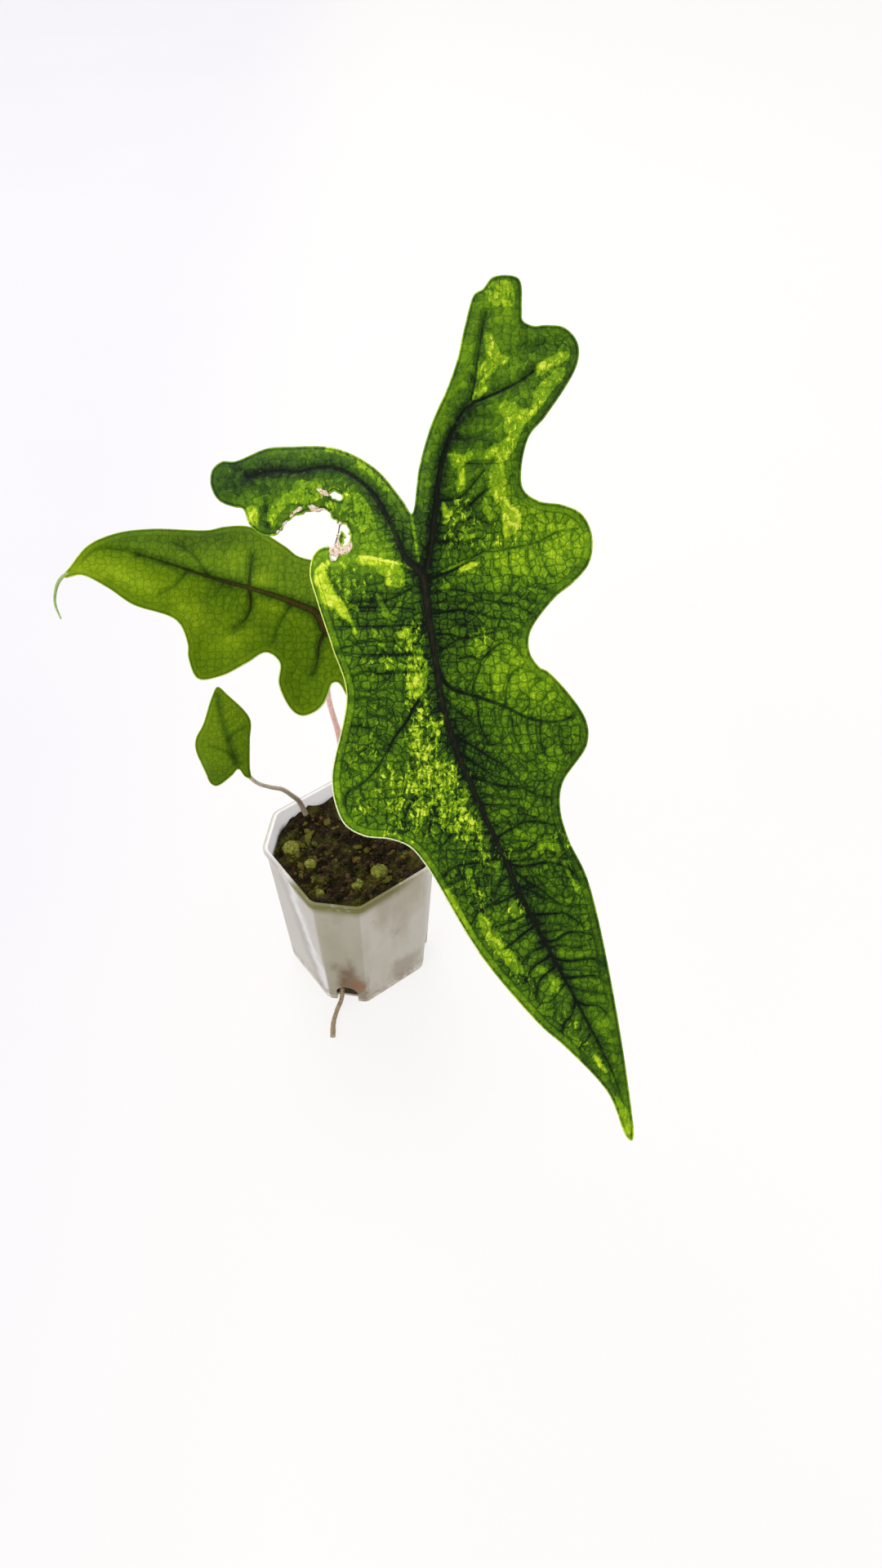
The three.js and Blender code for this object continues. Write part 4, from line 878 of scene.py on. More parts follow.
# %% Lime patches of the large leaf
LIME = [
    # the upper lobe
    (0.95, 14.8, 59, 16.6, 58.6, 18, 56, 19, 54, 21, 53, 20.4, 51.6, 18.6, 51, 17.4, 49.6, 15.8, 48,
     15, 46.4, 16, 45.6, 14.4, 43.6, 12.6, 42.6, 12, 43.6, 13.4, 46.4, 13.6, 50, 15.4, 53, 15, 56),
    (1.3, 12.8, 43.2, 15.2, 46, 15.8, 45.4, 14, 43.4),
    (1.3, 27.4, 50.2, 28.6, 51.8, 30, 52, 29.4, 50.4, 28.2, 49),
    (0.95, 27.4, 50.2, 28.8, 52, 31, 53, 33, 54.2, 35.6, 54.4, 36, 53.6, 33, 51, 31, 50.4, 28.4, 48.4),
    (0.95, 35, 50, 33.6, 47, 31.6, 44.6, 29, 41, 27.6, 39.4, 25, 36.4, 23.6, 33.6, 22, 30, 20, 27.4,
     20.4, 22, 20.6, 18, 23, 15.8, 24, 14, 23.6, 11, 20, 9, 19.4, 12, 19, 16, 17, 19, 16, 22, 16.6, 26,
     18, 29, 14.8, 28, 16, 31, 19, 32.4, 21, 34, 19.6, 36.4, 20, 38, 18.4, 40.4, 20, 42.4, 22.6, 42,
     24.4, 40.6, 26.6, 41, 27, 44.4, 28.6, 46.6, 31.6, 49, 32.6, 50.6),
    (0.95, 6, 29.4, 8, 30, 10, 29, 11.4, 31, 11.8, 30, 11.6, 28, 10, 26.8, 10.4, 24, 10, 20.4, 8, 20.6,
     8.4, 25.6, 6.6, 27), (1.3, 9.2, 26, 10, 26, 10.2, 22, 9, 21.4),
    (1.4, 4.6, 17.6, 5.4, 17.8, 6, 16, 7.6, 15, 5.6, 13.6, 5, 14),
    (0.9, 15, 19, 16, 17, 17.4, 14, 16.4, 13, 15, 14.4, 14.4, 16.4),
    (0.8, 9.4, 9, 12, 10, 13.6, 9.8, 12, 8.6, 10, 8),
    (0.7, 6, 12.6, 9, 14.4, 12, 15.6, 11, 14, 8, 12.4, 6.4, 11),
    (1.2, 8.4, 1, 11, 2.8, 14, 2.8, 11, 1, 8.4, 0.4),
    (0.6, 15, 70, 18, 72, 22, 71, 22.4, 66, 19.4, 65, 16.4, 66.4),
    (0.9, 4, -3.4, 5.6, -2.4, 7, -2.6, 6, -4.2, 5, -4.4),
    (0.7, 11.4, -15, 13.4, -15.4, 15.6, -17.6, 15.4, -19.6, 13, -20.4, 11.6, -18.4),
    # the left side
    (1.25, -26.4, 1, -24.6, 2.6, -23.4, 0, -21, -5, -19, -7.4, -17, -12, -16, -14.6, -16.8, -14.6,
     -18, -12, -20.6, -10, -22, -8.4, -24, -7.4, -25.4, -4, -26.6, -1),
    (0.96, -16.4, 3.6, -14, 4.4, -10, 3.8, -6.4, 2.6, -4.8, 1, -4.6, -3, -7, -3.2, -9, -2.2, -9.6, -0.6,
     -11, 0, -11.6, 1.4, -13.6, 2.2, -15.6, 2.2), (1.3, -9.4, -1.2, -8.2, -1, -7.8, -2.6, -9, -2.8),
    (1.2, -23.6, 3.6, -22.8, 3.4, -22.9, 2.2, -23.6, 2.4),
    (1.2, -20.2, 3.2, -19.2, 2.4, -18.8, 1.2, -19.8, 1.8),
    (1.1, -18.8, -1.8, -17.8, -1.8, -17.8, -3, -18.6, -3.2),
    (1.2, -18.8, -4, -17.6, -4, -17.6, -4.8, -18.8, -4.8),
    (1, -21, -0.6, -20.2, -0.6, -20.2, -2, -21.2, -1.8),
    (0.8, -18, -7.2, -15.4, -8.8, -16, -9.2, -18.2, -8),
    (0.66, -11.4, -4.6, -10, -6, -8.4, -9, -8, -11, -9.6, -10.6, -10.8, -8, -11.8, -6),
    (0.6, -8, -9.4, -6.6, -7.4, -5.4, -6, -5, -7, -5.6, -8.6, -7, -10),
    (1.2, -3.8, -22, -2, -22.4, -1.4, -25, -0.2, -23, 1, -24, 1, -27, 0.6, -29.4, -1, -31, -2, -29,
     -2.6, -26.6, -3.6, -25), (1.2, -1.6, -18.4, 0.2, -19, -0.4, -21.4, -1.8, -20.8),
    (0.6, -4.4, -13, -3, -11.4, -1.4, -16, -0.4, -18, -2, -17.4, -3.4, -16),
    (0.56, -12.6, -21, -10, -20.4, -7, -21, -3.6, -22.4, -5, -24, -8, -25, -9, -26, -8.6, -23,
     -12, -23), (0.6, -13, -13, -11, -14, -9.4, -17, -8.6, -19, -10, -18.6, -12, -16.4),
    # the tip
    (0.85, 21, -80, 22.6, -80, 23.6, -82, 24.6, -84, 23, -85.4, 21.8, -84, 20.8, -82),
    (1, 13.6, -83, 15.6, -84, 17.6, -88, 20.4, -91, 23.4, -94.4, 24.6, -97.6, 22.4, -97.4, 19, -93.6,
     16, -90, 14, -86), (0.86, 27.6, -96, 29, -95.8, 30.6, -97, 30, -98, 28.4, -97.6),
    (0.82, 31.4, -100.4, 33, -98.6, 33.6, -101, 33, -102.6, 31.6, -102.2),
    (0.85, 5.4, -77, 7, -77.6, 8.6, -80, 10, -83, 12, -87, 11, -87, 8.6, -84, 6, -79),
    (0.85, 33.4, -69, 35, -71, 36.6, -74, 38.2, -77, 37.6, -78, 36.6, -76, 35, -73, 34, -71),
    (0.66, 28, -65, 31, -64, 33.6, -66.4, 34.4, -69, 32, -68, 30.6, -67, 29.4, -68.8, 28.4, -68),
    (0.8, 16.6, -70, 18.6, -70.2, 19, -72, 17, -72, 16, -71),
    (0.8, 10, -72, 12, -72, 12, -74.4, 11, -74), (0.7, 17, -86.6, 19.4, -88, 18.4, -89, 17, -88),
    (0.8, 35.4, -111.6, 36.6, -112.6, 38.6, -114.4, 38.2, -116, 36, -113.6),
    (1.3, 41.6, -117.6, 42.6, -117.4, 44.4, -120.6, 45, -122, 43, -120.4),
    (0.8, 47, -127.4, 48.4, -129, 50.4, -132, 51, -135, 50.6, -138, 49.4, -136.6, 48, -132),
    (0.8, 32.6, -107, 33.6, -108.6, 34, -110.4, 33, -109.6),
    # the left basal lobe
    (1.1, -43.4, 16, -41.2, 16.6, -40.2, 14, -40.6, 12, -42, 12, -43, 14),
    (1, -37.8, 17, -36.4, 17, -36, 13.6, -36.8, 11.4, -37.8, 13),
    (0.62, -31, 23, -27, 22.8, -24.4, 21.6, -26, 18, -28.6, 16.8, -31.4, 17.6, -34, 15.6, -36, 12,
     -35.4, 18, -33, 20),
    (0.62, -24, 31.4, -19, 30, -14, 27, -11, 24, -8, 20.6, -9, 20, -12.4, 23, -16, 26.4, -20, 28.8,
     -24, 30.2), (0.58, -19.6, 20, -16, 20, -13, 17, -12, 13, -15, 10, -17, 12, -19.4, 14, -20, 17),
    (0.7, -9.4, 14, -8.4, 14, -6.6, 10.4, -6.4, 7.6, -7.6, 9)]
print(f"{len(LIME)} patches of lime")

# %% [markdown]
# The dry marks are the dead tissue along the tear, and are outlines too. The other marks are ovals: a
# centre, half the length, half the width, a turn in degrees and a strength. The sun marks scatter pale
# flecks, the tone marks set the blade's own lighter and darker parts and also paint the glow of the lobes,
# the shade of the folds and the shadow along the ribs, and the calm marks are the places where the net of
# veins is faint.

# %% Light, shade and dry tissue of the large leaf
LARGE_MARKS = {
    "lime": LIME,
    "sun": [
        (-1.6, -26, 7, 2.8, 82, 0.96), (-3.4, -16.8, 6, 3.2, 82, 0.84), (-9.6, -21.4, 6, 3, 5, 0.58),
        (0.4, -39.4, 9, 4.4, 80, 0.86), (2.4, -52.4, 9, 7, 0, 0.92), (9.4, -61.4, 6.5, 4, -30, 0.96),
        (-6.6, -53.4, 6, 6, 0, 0.62), (-3.6, -61.4, 7, 4, 0, 0.66), (-13.6, -56.4, 5, 4, 0, 0.5),
        (-14, -44, 8, 6, 60, 0.42), (14, -16.4, 3.2, 3.4, 0, 0.6), (18, 10, 9, 3.4, 10, 0.5),
        (9, 12, 5, 7, 0, 0.66), (-23.6, 18.6, 9, 4, 0, 0.5), (-14.6, 16, 6, 5, -40, 0.4),
        (-21.2, 2.2, 6, 4, 0, 0.36), (-15, -7, 4, 3, 0, 0.5), (-18, -1, 6, 4, 0, 0.5),
        (16.4, -68.4, 6, 3, 0, 0.7), (22.8, -82.2, 3, 2.4, -60, 0.6), (16.8, -87.6, 4.4, 2, -20, 0.6),
        (20, -93, 6, 2, -40, 0.6), (12, -77, 8, 4, -50, 0.55), (38, -113, 6, 2, -52, 0.5),
        (34.4, -67.4, 6, 2.4, -65, 0.5), (24, -99, 6, 2.4, -52, 0.5)],
    # Tone marks: the blade's own lighter and darker parts, with a painted glow in the lobes and painted
    # shadow along the ribs and in the folds.
    "tone": [
        (32.4, 8.6, 12, 9, 0, 0.33), (19.4, 3, 8, 5, 0, 0.22), (24, -24, 10, 8, -30, 0.31),
        (24, 14, 5, 5, 0, 0.1), (33.4, -37, 7, 8, 0, 0.04), (8, -10.4, 9, 9, 0, -0.12),
        (11, -42, 6, 10, 30, -0.11), (20, -38, 8, 6, 0, 0.04), (23, -61, 7, 7, 0, 0.03),
        (24, -46, 8, 8, 0, 0.06), (40, -100, 22, 4, -66, 0.03), (49, -132, 12, 4, -80, 0.26),
        (-38, 25.4, 14, 5, 0, -0.22), (-13, -52, 8, 9, 0, 0.17), (18, -85, 7, 7, 0, 0.05),
        (-48, 22, 7, 6, 0, -0.12), (-38.4, 15.6, 1.4, 5, 0, -0.25), (0, 0, 4, 4, 0, -0.16),
        (18.4, 66, 7, 6, 0, 0.1), (2.8, 14, 13, 3, 82, -0.16), (6, 33, 8, 3, 62, -0.14),
        (12, 36, 5, 9, 0, -0.04), (14, 39.4, 5, 1.8, -8, -0.2), (13, 33, 6, 1.6, -6, -0.2),
        (29, 56, 7, 2.4, 0, -0.14), (10, 53, 10, 2.6, 78, 0.06), (-9, -8, 8, 6, 0, -0.08),
        (27, -78, 3.4, 7, 10, -0.14), (30, -83, 6, 7, -60, -0.06), (12, -76, 6, 4, 0, -0.06),
        (24, -95, 8, 4, -50, -0.02), (-4, 10, 4, 9, 20, -0.1), (1.4, 30, 8, 1.7, 68, 0.14),
        (5.2, 42.8, 6, 1.8, 65, 0.14), (9, 54, 6, 2, 75, 0.12), (10, 11, 7, 6, 0, -0.06),
        (-20, 4, 9, 3.6, -6, 0.2), (-10, 8, 7, 4, -40, 0.1)],
    "calm": [(12, 48, 30, 17, 75, 1), (-32, 24, 26, 14, 0, 1), (38, -102, 26, 6, -66, 0.6),
             (-17, 2, 9, 6, 0, 0.8)],
    "dry": [
        (0.84, -22.8, 6.7, -21.4, 7, -20, 6.7, -18.6, 7.3, -17.5, 8, -17.5, 6, -19, 4.9, -20.8, 4.4,
         -21.4, 3.2, -22.8, 3.4, -23, 5),
        (1, -21.2, 7, -21.4, 8.6, -20.9, 10.2, -20.3, 10.2, -20.6, 8.6, -20.4, 7),
        (1, -28.2, 16.6, -27, 17, -25.6, 16.2, -23.8, 15.9, -24, 15, -26.4, 15.2),
        (1, -32.4, 14.7, -31, 15.9, -29.8, 16.4, -29.6, 15.9, -31.2, 15, -32.6, 13.9),
        (0.75, -36, 10, -34.9, 11.5, -33.4, 13.4, -33, 13.2, -34.4, 11.4, -35.6, 9.6),
        (1, -26.2, 20.9, -25.2, 20.9, -23.6, 20.2, -23, 19.2, -24.2, 19.4, -25.6, 20.2),
        (0.9, -20.8, 12.8, -19.8, 12.8, -20, 11, -21, 11)],
}
make_blade("large_blade", "leaf_1", LARGE, 0.46, marbled, LARGE_MARKS, seed=4)

# %% [markdown]
# ## The second and the young leaf
# The second leaf is folded along its midrib, so that its far half falls away, and it ends in a thin curled
# thread. It is made in the same way as the large one, from a formula for its height and from the points
# of its margin and ribs.

# %% The second leaf
def second_height(x, y):
    midrib = 3.2 - 0.31 * x + 3.2 * np.tanh((-x - 2) / 2.5)
    across = (y - midrib) * 0.94
    far, near = np.maximum(across, 0), np.minimum(across, 0)
    fold = -1.45 * (np.hypot(far, 2.5) - 2.5) - 0.0035 * near**2 + 0.06 * near
    tip = -12 * (np.maximum(0, -x - 34) / 46) ** 2
    beat = np.where(across < 0, np.cos(math.pi * (x + 36) / 15), 0.4 * np.cos(math.pi * (x + 30) / 17))
    return fold + tip - 2 * beat * np.minimum(1, np.abs(across) / 24) ** 2


SECOND = {
    "distance": 361, "join": (-35.5, 46), "seat": (-0.6, 0.4), "height": second_height,
    "outline": [
        (-80.2, 18), (-78.5, 20.2), (-72.8, 27), (-64.2, 30.8), (-53.2, 32.2), (-35.8, 31.8), (-31, 32.8),
        (-23, 32.8), (-12.2, 26.8), (-8.2, 23.8), (0.5, 22.2), (6.8, 22.8), (18.5, 20.5), (22.5, 18),
        (23.5, 15), (21.5, 12.2), (7.5, 6.5), (3, 2), (9.5, -2.5), (16.5, -11.5), (18, -17.5),
        (16.5, -23), (13.5, -26), (10, -25), (4, -15), (2.2, -15.2), (1, -18.2), (-0.5, -21.5),
        (-3.2, -24), (-7, -25.2), (-10.2, -23.5), (-14.2, -15.5), (-14, -8.8), (-18, -5.8), (-24, -9),
        (-31.8, -13), (-39, -13.8), (-42, -7.2), (-42.2, -3.2), (-45.5, 4), (-59, 9), (-66.8, 14.2),
        (-74.8, 18), (-79.8, 17.2)],
    "holes": [],
    "ribs": [
        ([(0, 0), (-2.5, 6.2), (-7, 8.5), (-20, 13.2), (-33.7, 17), (-49.2, 22), (-57, 24.4)], 2.6, 0.5),
        ([(-23.2, 14.2), (-22.8, 20.2), (-22.2, 24.4)], 1.3, 0.2),
        ([(-23.2, 14.2), (-22.8, 8.5), (-24.5, 4.5), (-28, 1.4)], 1.3, 0.1),
        ([(0, 0.8), (-1.8, -3.2), (-2.5, -8.5), (-3.8, -12.4)], 1.4, 0.1)],
    "side_ribs": [
        ([(-57, 24.4), (-63, 25.8), (-69.5, 26), (-76, 21.5)], 0.5, 0.3),
        ([(0.8, 0.4), (6, -6), (11, -16)], 1.4, 0.7), ([(-42, 19.6), (-46, 15), (-51, 12)], 0.9, 0.5),
        ([(-10, 9.6), (-14, 3), (-16, -3)], 0.9, 0.5), ([(-36, 18), (-40, 24), (-46, 28)], 0.9, 0.5)],
}
print(f"second leaf: {len(SECOND['outline'])} points of margin")

# %% [markdown]
# The young leaf is small and has no lobes yet. Its blade droops a little to both sides of the midrib and
# towards its tip.

# %% The young leaf
def young_height(x, y):
    across = x + 1 + 0.24 * y
    return -0.035 * across**2 - 5 * (np.maximum(0, y) / 28) ** 2 - 0.18 * np.maximum(0, -y)


YOUNG = {
    "distance": 401, "join": (-68.9, 5), "seat": (-0.6, 2), "height": young_height,
    "outline": [
        (0, 0), (2.2, -2.5), (4.2, -3.1), (3.9, 0.6), (3.9, 10), (3.9, 17.2), (-3.6, 25.3), (-7.2, 28.1),
        (-9.2, 24.4), (-12.2, 15), (-14.4, 10.8), (-14.7, 7.2), (-11.1, -1.7), (-9.7, -4.7), (-7.5, -5.8),
        (-2.2, -2.2)],
    "holes": [],
    "ribs": [([(-0.6, 2), (-3.4, 10), (-6, 19), (-7, 25)], 0.7, 0.3)],
    "side_ribs": [
        ([(-1.4, 4.4), (-5, 6.4), (-10, 8)], 0.6, 0.3), ([(-3.4, 10), (-1, 12.6), (2, 14)], 0.6, 0.3)],
}
print(f"young leaf: {len(YOUNG['outline'])} points of margin")

# %% [markdown]
# Both of these leaves are plainer than the large one, in duller greens and with a fainter net of veins.
# A second finish could be written for them, but the same one with lower values keeps the three blades
# looking like those of one plant.

# %% Finish and marks of the plainer leaves
PLAIN_GREENS = [(0.0, tint(30, 40, 12)), (0.2, tint(52, 76, 10)), (0.4, tint(82, 112, 12)),
                (0.6, tint(114, 142, 14)), (0.8, tint(150, 176, 32)), (1.0, tint(196, 210, 96))]
plain = blade_finish("plain_blade", PLAIN_GREENS, 0.42, tint(72, 58, 20), 0.42, 0.36, 0.02)
young = blade_finish("young_blade", PLAIN_GREENS, 0.6, tint(70, 92, 20), 0.34, 0.1, 0.04)
SECOND_MARKS = {
    "tone": [(-62, 18.4, 10, 4, -20, 0.22), (-76, 20, 7, 9, 0, 0.2), (-41, 5.6, 6, 4.5, -40, 0.19),
             (-20, 16, 3.6, 3, 0, 0.22), (-17, 8.4, 6, 3, 0, 0.12), (-28, -2, 7, 3, 20, 0.15),
             (-50, 14, 9, 4, -8, 0.12), (-27, 22, 3, 5, 0, 0.1), (-44, 28.6, 12, 3.6, 0, -0.16),
             (-30, 29.4, 8, 3, 0, -0.12), (-60, 28.6, 8, 3, 10, -0.08),
             (-8, -10, 6, 9, 0, -0.05), (-32.8, 13, 6, 3, 15, -0.1), (-20, -1, 4, 8, 0, -0.04)]}
YOUNG_MARKS = {"tone": [(-5, 18, 8, 14, 0, 0.12), (-4, -4, 9, 5, 0, -0.12)]}
make_blade("second_blade", "leaf_2", SECOND, 0.5, plain, SECOND_MARKS, 3, 7, 0.4)
make_blade("young_blade", "leaf_3", YOUNG, 0.4, young, YOUNG_MARKS, 2.4, 9, 0.3)

# %% [markdown]
# ## Stalks, root and threads
# A stalk is a ring of vertices drawn along a curve: each step extrudes the ring, moves it on, turns it
# square to the curve and sets its width. It is the same move as pulling a soft rod through a die.

# %% Drawing a rod
def drawn_rod(route, widths, sides=14, step=1.6, knots=0.0, seed=0):
    line = smooth_line(route, step)
    halves = np.interp(np.linspace(0, 1, len(line)), np.linspace(0, 1, len(widths)), widths) / 2
    random = np.random.default_rng(seed)
    rod = bmesh.new()
    bmesh.ops.create_circle(rod, cap_ends=True, segments=sides, radius=1.0)
    ring, facing = rod.verts[:], Vector((0, 0, 1))
    # each ring uses the second of its two draws
    thick = halves * (1 + knots * random.normal(size=(len(line), 2))[:, 1])
    for k, here in enumerate(line):
        if k:
            edges = [e for e in rod.edges if all(v in ring for v in e.verts)]
            ring = new_points(bmesh.ops.extrude_edge_only(rod, edges=edges))
        ahead = Vector(line[min(k + 1, len(line) - 1)] - line[max(k - 1, 0)]).normalized()
        turn = facing.rotation_difference(ahead).to_matrix()
        centre = Vector(line[k - 1]) if k else Vector((0, 0, 0))
        bmesh.ops.translate(rod, verts=ring, vec=-centre)
        bmesh.ops.rotate(rod, verts=ring, cent=(0, 0, 0), matrix=turn)
        mean = sum(v.co.length for v in ring) / len(ring)
        bmesh.ops.scale(rod, verts=ring, vec=(thick[k] / mean,) * 3)
        bmesh.ops.translate(rod, verts=ring, vec=Vector(here))
        facing = ahead
    bmesh.ops.contextual_create(rod, geom=ring)
    caps = [f for f in rod.faces if len(f.verts) > 4]
    bmesh.ops.inset_region(rod, faces=caps, thickness=float(halves.min()) * 0.3, use_even_offset=True)
    bmesh.ops.recalc_face_normals(rod, faces=rod.faces[:])
    return rod


test = drawn_rod([(0, 0, 0), (0, 0, 10)], [2, 1])
print(f"a test rod has {len(test.verts)} points and {len(test.faces)} faces")
test.free()

# %% [markdown]
# The skin of a stalk is streaked along its length and changes colour from foot to top. Streaks come from
# a noise that is stretched upwards, and small spots from a second one that is not.

# %% Skin of the stalks
def stalk_finish(name, low, high, fleck, share, rough=0.45):
    finish, tree, shader = new_finish(name)
    place = object_place(tree)
    streaks = speckle(tree, stretched(tree, place, (1, 1, 0.12)), 1400, 3.0)
    spots = speckle(tree, place, 900, 3.0, 0.65)
    height = put(tree, "SeparateXYZ", {0: place}, out=2)
    colour = mixed(tree, soft_step(tree, height, 0.06, 0.17), low, high)
    colour = mixed(tree, soft_step(tree, streaks, 0.42, 0.62, 0, 0.35), colour, fleck)
    colour = mixed(tree, soft_step(tree, spots, 0.56, 0.64, 0, share), colour, fleck)
    roughness = soft_step(tree, spots, 0.3, 0.7, rough - 0.08, rough + 0.12)
    dress(tree, shader, colour, roughness, streaks, 0.4, 0.0002)
    return finish


green_stalk = stalk_finish("green_stalk", tint(150, 92, 66), tint(132, 140, 82), tint(74, 52, 34), 0.8)
pink_stalk = stalk_finish("pink_stalk", tint(226, 150, 132), tint(240, 204, 190), tint(196, 112, 98), 0.35)
pale_stalk = stalk_finish("pale_stalk", tint(176, 160, 138), tint(196, 190, 164), tint(134, 112, 84), 0.45)
root_skin = stalk_finish("root_skin", tint(176, 156, 124), tint(160, 140, 108), tint(96, 74, 50), 0.7, 0.7)
print("skins:", green_stalk.name, pink_stalk.name, pale_stalk.name, root_skin.name)

# %% [markdown]
# Each stalk starts in the stem or close beside it and follows a few measured points. It ends just under
# the rib of its blade, so its last point is reckoned from the blade.

# %% Stalks
def seat_point(leaf, gap):
    x, y = (np.array([value]) for value in leaf["seat"])
    return tuple((blade_point(leaf, x, y) - blade_normal(leaf, x, y) * gap)[0])


STALKS = [
    ("stalk_large", "petiole_1", "petiole_green", green_stalk, LARGE,
     [(2.4, 10.8, 57), (3.4, 10, 66), (12, 2, 110), (22, -10, 160), (28.3, -32, 208)],
     [4.6, 4.4, 4, 3.4, 3, 2.8]),
    ("stalk_second", "petiole_2", "petiole_pink", pink_stalk, SECOND,
     [(-2, 13.4, 57), (-2, 13.6, 66), (-1.5, 11.4, 96), (-1.5, 4.6, 125.4), (-2.6, -5.1, 154.2)],
     [3.4, 3, 2.4, 2, 1.8, 1.8]),
    ("stalk_young", "petiole_3", "petiole_pale", pale_stalk, YOUNG,
     [(-5.8, 13, 51.6), (-13, 14.6, 57), (-18.2, 16.4, 65), (-20.9, 17.2, 74), (-22.1, 9.6, 87),
      (-24.3, 3.5, 97.6), (-26.8, -6.4, 110.2), (-30, -14.6, 122.6)],
     [3, 2.6, 2.2, 2, 1.8, 1.7, 1.5, 1.4, 1.5])]
SEAT_GAP = 1.3  # from the blade's top to the stalk's end, so that it stops just under the rib
for name, node, slot, finish, leaf, route, widths in STALKS:
    rod = drawn_rod(route + [seat_point(leaf, SEAT_GAP)], widths, seed=len(name))
    piece_from(name, rod, finish, node)
    print(f"{name}: {len(route) + 1} points of route")

# %% [markdown]
# The root leaves the pot through its front slot and ends on the surface. The drip tip of the second
# blade and a dead thread in the large blade's tear run inside the thickness of their blades. All three
# are drawn as the stalks are, with a little unevenness in the root and in the dead thread.

# %% The root, the drip tip and a dead thread
ROOT_ROUTE = [(0.4, 11.4, 43.1), (-1.2, 7, 38), (-4.2, -2, 28), (-6.4, -15, 15), (-6.2, -23, 6.5),
              (-6.4, -28.5, 2.6), (-8, -33, 1.4), (-9.2, -39, 1.3), (-9.1, -45.5, 1.35)]
ROOT_WIDTHS = [2.6, 2.5, 2.4, 2.2, 2, 2, 1.9, 1.9, 2.3]
piece_from("root_out", drawn_rod(ROOT_ROUTE, ROOT_WIDTHS, 12, 1.0, 0.05, 3), root_skin, "root")


def inside_blade(leaf, flat):
    x, y = np.array(flat).T
    return blade_point(leaf, x, y) - blade_normal(leaf, x, y) * LEAF_THICK / 2


DRIP = [(-78.6, 18.6), (-80.8, 17.4), (-82.5, 14.5), (-83, 9.5), (-81.2, 4.6)]
DEAD = [(-20.4, 12.9), (-20.7, 11.4), (-20.9, 10.2), (-21.4, 8.4), (-22, 6.6)]
dry_brown = stalk_finish("dry_brown", tint(104, 84, 62), tint(112, 96, 70), tint(60, 46, 30), 0.5, 0.8)
dead = drawn_rod(inside_blade(LARGE, DEAD), [0.5, 0.35, 0.3, 0.35, 0.5], 8, 0.4, 0.1, 2)
piece_from("dead_thread", dead, dry_brown, None)
thread_green = stalk_finish("thread_green", tint(150, 176, 96), tint(160, 184, 104), tint(96, 130, 50), 0.3)
drip = drawn_rod(inside_blade(SECOND, DRIP), [1.2, 1.2, 1, 0.8, 0.5], 10, 0.5)
piece_from("drip_thread", drip, thread_green, None)
print("a root, a dead thread and a drip thread drawn in the same way")

# %% [markdown]
# ## The pot
# The pot is a pressed square with cut-off corners, a little wider at the mouth, with a thin lip. It
# begins as a circle of four points, which is a square. A bevel on the points cuts the corners, and a
# second one rounds them. This gives the foot of the pot.

# %% The pot
POT_MOUTH, POT_BASE, POT_HEIGHT, POT_CORNER = 60, 51.2, 72.5, 13.3
POT_WALL, POT_FLOOR, LIP_OUT, LIP_DEEP = 0.9, 1.2, 0.8, 2.6
LIP_ROUND, LIP_EDGE, FOOT_CHAMFER, CORNER_ROUND = 0.3, 0.25, 0.8, 1.6
POT_TURN = math.radians(-52.8)
QUARTER = math.pi / 2


def wall_half(z):
    return (POT_BASE + (POT_MOUTH - 2 * LIP_OUT - POT_BASE) * z / POT_HEIGHT) / 2


def cut_square(half, shape):
    turn = Matrix.Rotation(POT_TURN + QUARTER / 2, 3, "Z")
    made = bmesh.ops.create_circle(shape, cap_ends=True, segments=4, radius=half * math.sqrt(2))
    bmesh.ops.rotate(shape, verts=made["verts"], cent=(0, 0, 0), matrix=turn)
    leg = POT_CORNER * 2 * half / POT_MOUTH
    for offset, steps in ((leg, 1), (CORNER_ROUND, 4)):
        bmesh.ops.bevel(shape, geom=shape.verts[:], offset=offset, offset_type="OFFSET", affect="VERTICES",
                        segments=steps, profile=0.5, material=-1)


pot = bmesh.new()
cut_square(wall_half(0) - FOOT_CHAMFER, pot)
widest = max(v.co.xy.length for v in pot.verts)
print(f"pot: ring of {len(pot.verts)} points, {widest:.1f} mm from the middle at the base")

# %% [markdown]
# The ring is carried from station to station: up the outside, over the lip and down the inside. Each
# station is half the pot's width and a height.

# %% The walls of the pot
top = wall_half(POT_HEIGHT)
lip_foot = POT_HEIGHT - LIP_DEEP
outside = [(wall_half(z), z) for z in (FOOT_CHAMFER, 25, 50, lip_foot - 0.5, lip_foot)]
lip = [(top + LIP_OUT, lip_foot + 0.5), (top + LIP_OUT, POT_HEIGHT - LIP_ROUND),
       (top + LIP_OUT - LIP_EDGE, POT_HEIGHT), (top - POT_WALL + LIP_EDGE, POT_HEIGHT),
       (top - POT_WALL, POT_HEIGHT - LIP_ROUND)]
inside = [(wall_half(50) - POT_WALL, 50), (wall_half(POT_FLOOR + 1) - POT_WALL, POT_FLOOR + 1),
          (wall_half(POT_FLOOR) - POT_WALL - 1, POT_FLOOR)]
ring, half, level = [e for e in pot.edges if e.is_boundary], wall_half(0) - FOOT_CHAMFER, 0.0
for next_half, next_level in outside + lip + inside:
    made = bmesh.ops.extrude_edge_only(pot, edges=ring)
    points = new_points(made)
    ring = [g for g in made["geom"] if isinstance(g, bmesh.types.BMEdge)]
    bmesh.ops.scale(pot, verts=points, vec=(next_half / half, next_half / half, 1))
    bmesh.ops.translate(pot, verts=points, vec=(0, 0, next_level - level))
    half, level = next_half, next_level
bmesh.ops.contextual_create(pot, geom=points)
bmesh.ops.recalc_face_normals(pot, faces=pot.faces[:])
print(f"pot: {len(pot.faces)} faces before the slots")

# %% [markdown]
# A drain slot is cut low in each corner. It could be modelled face by face, but a rounded bar that is
# pushed through the wall takes the slot out with a Boolean, as a punch does. All four bars are one mesh.

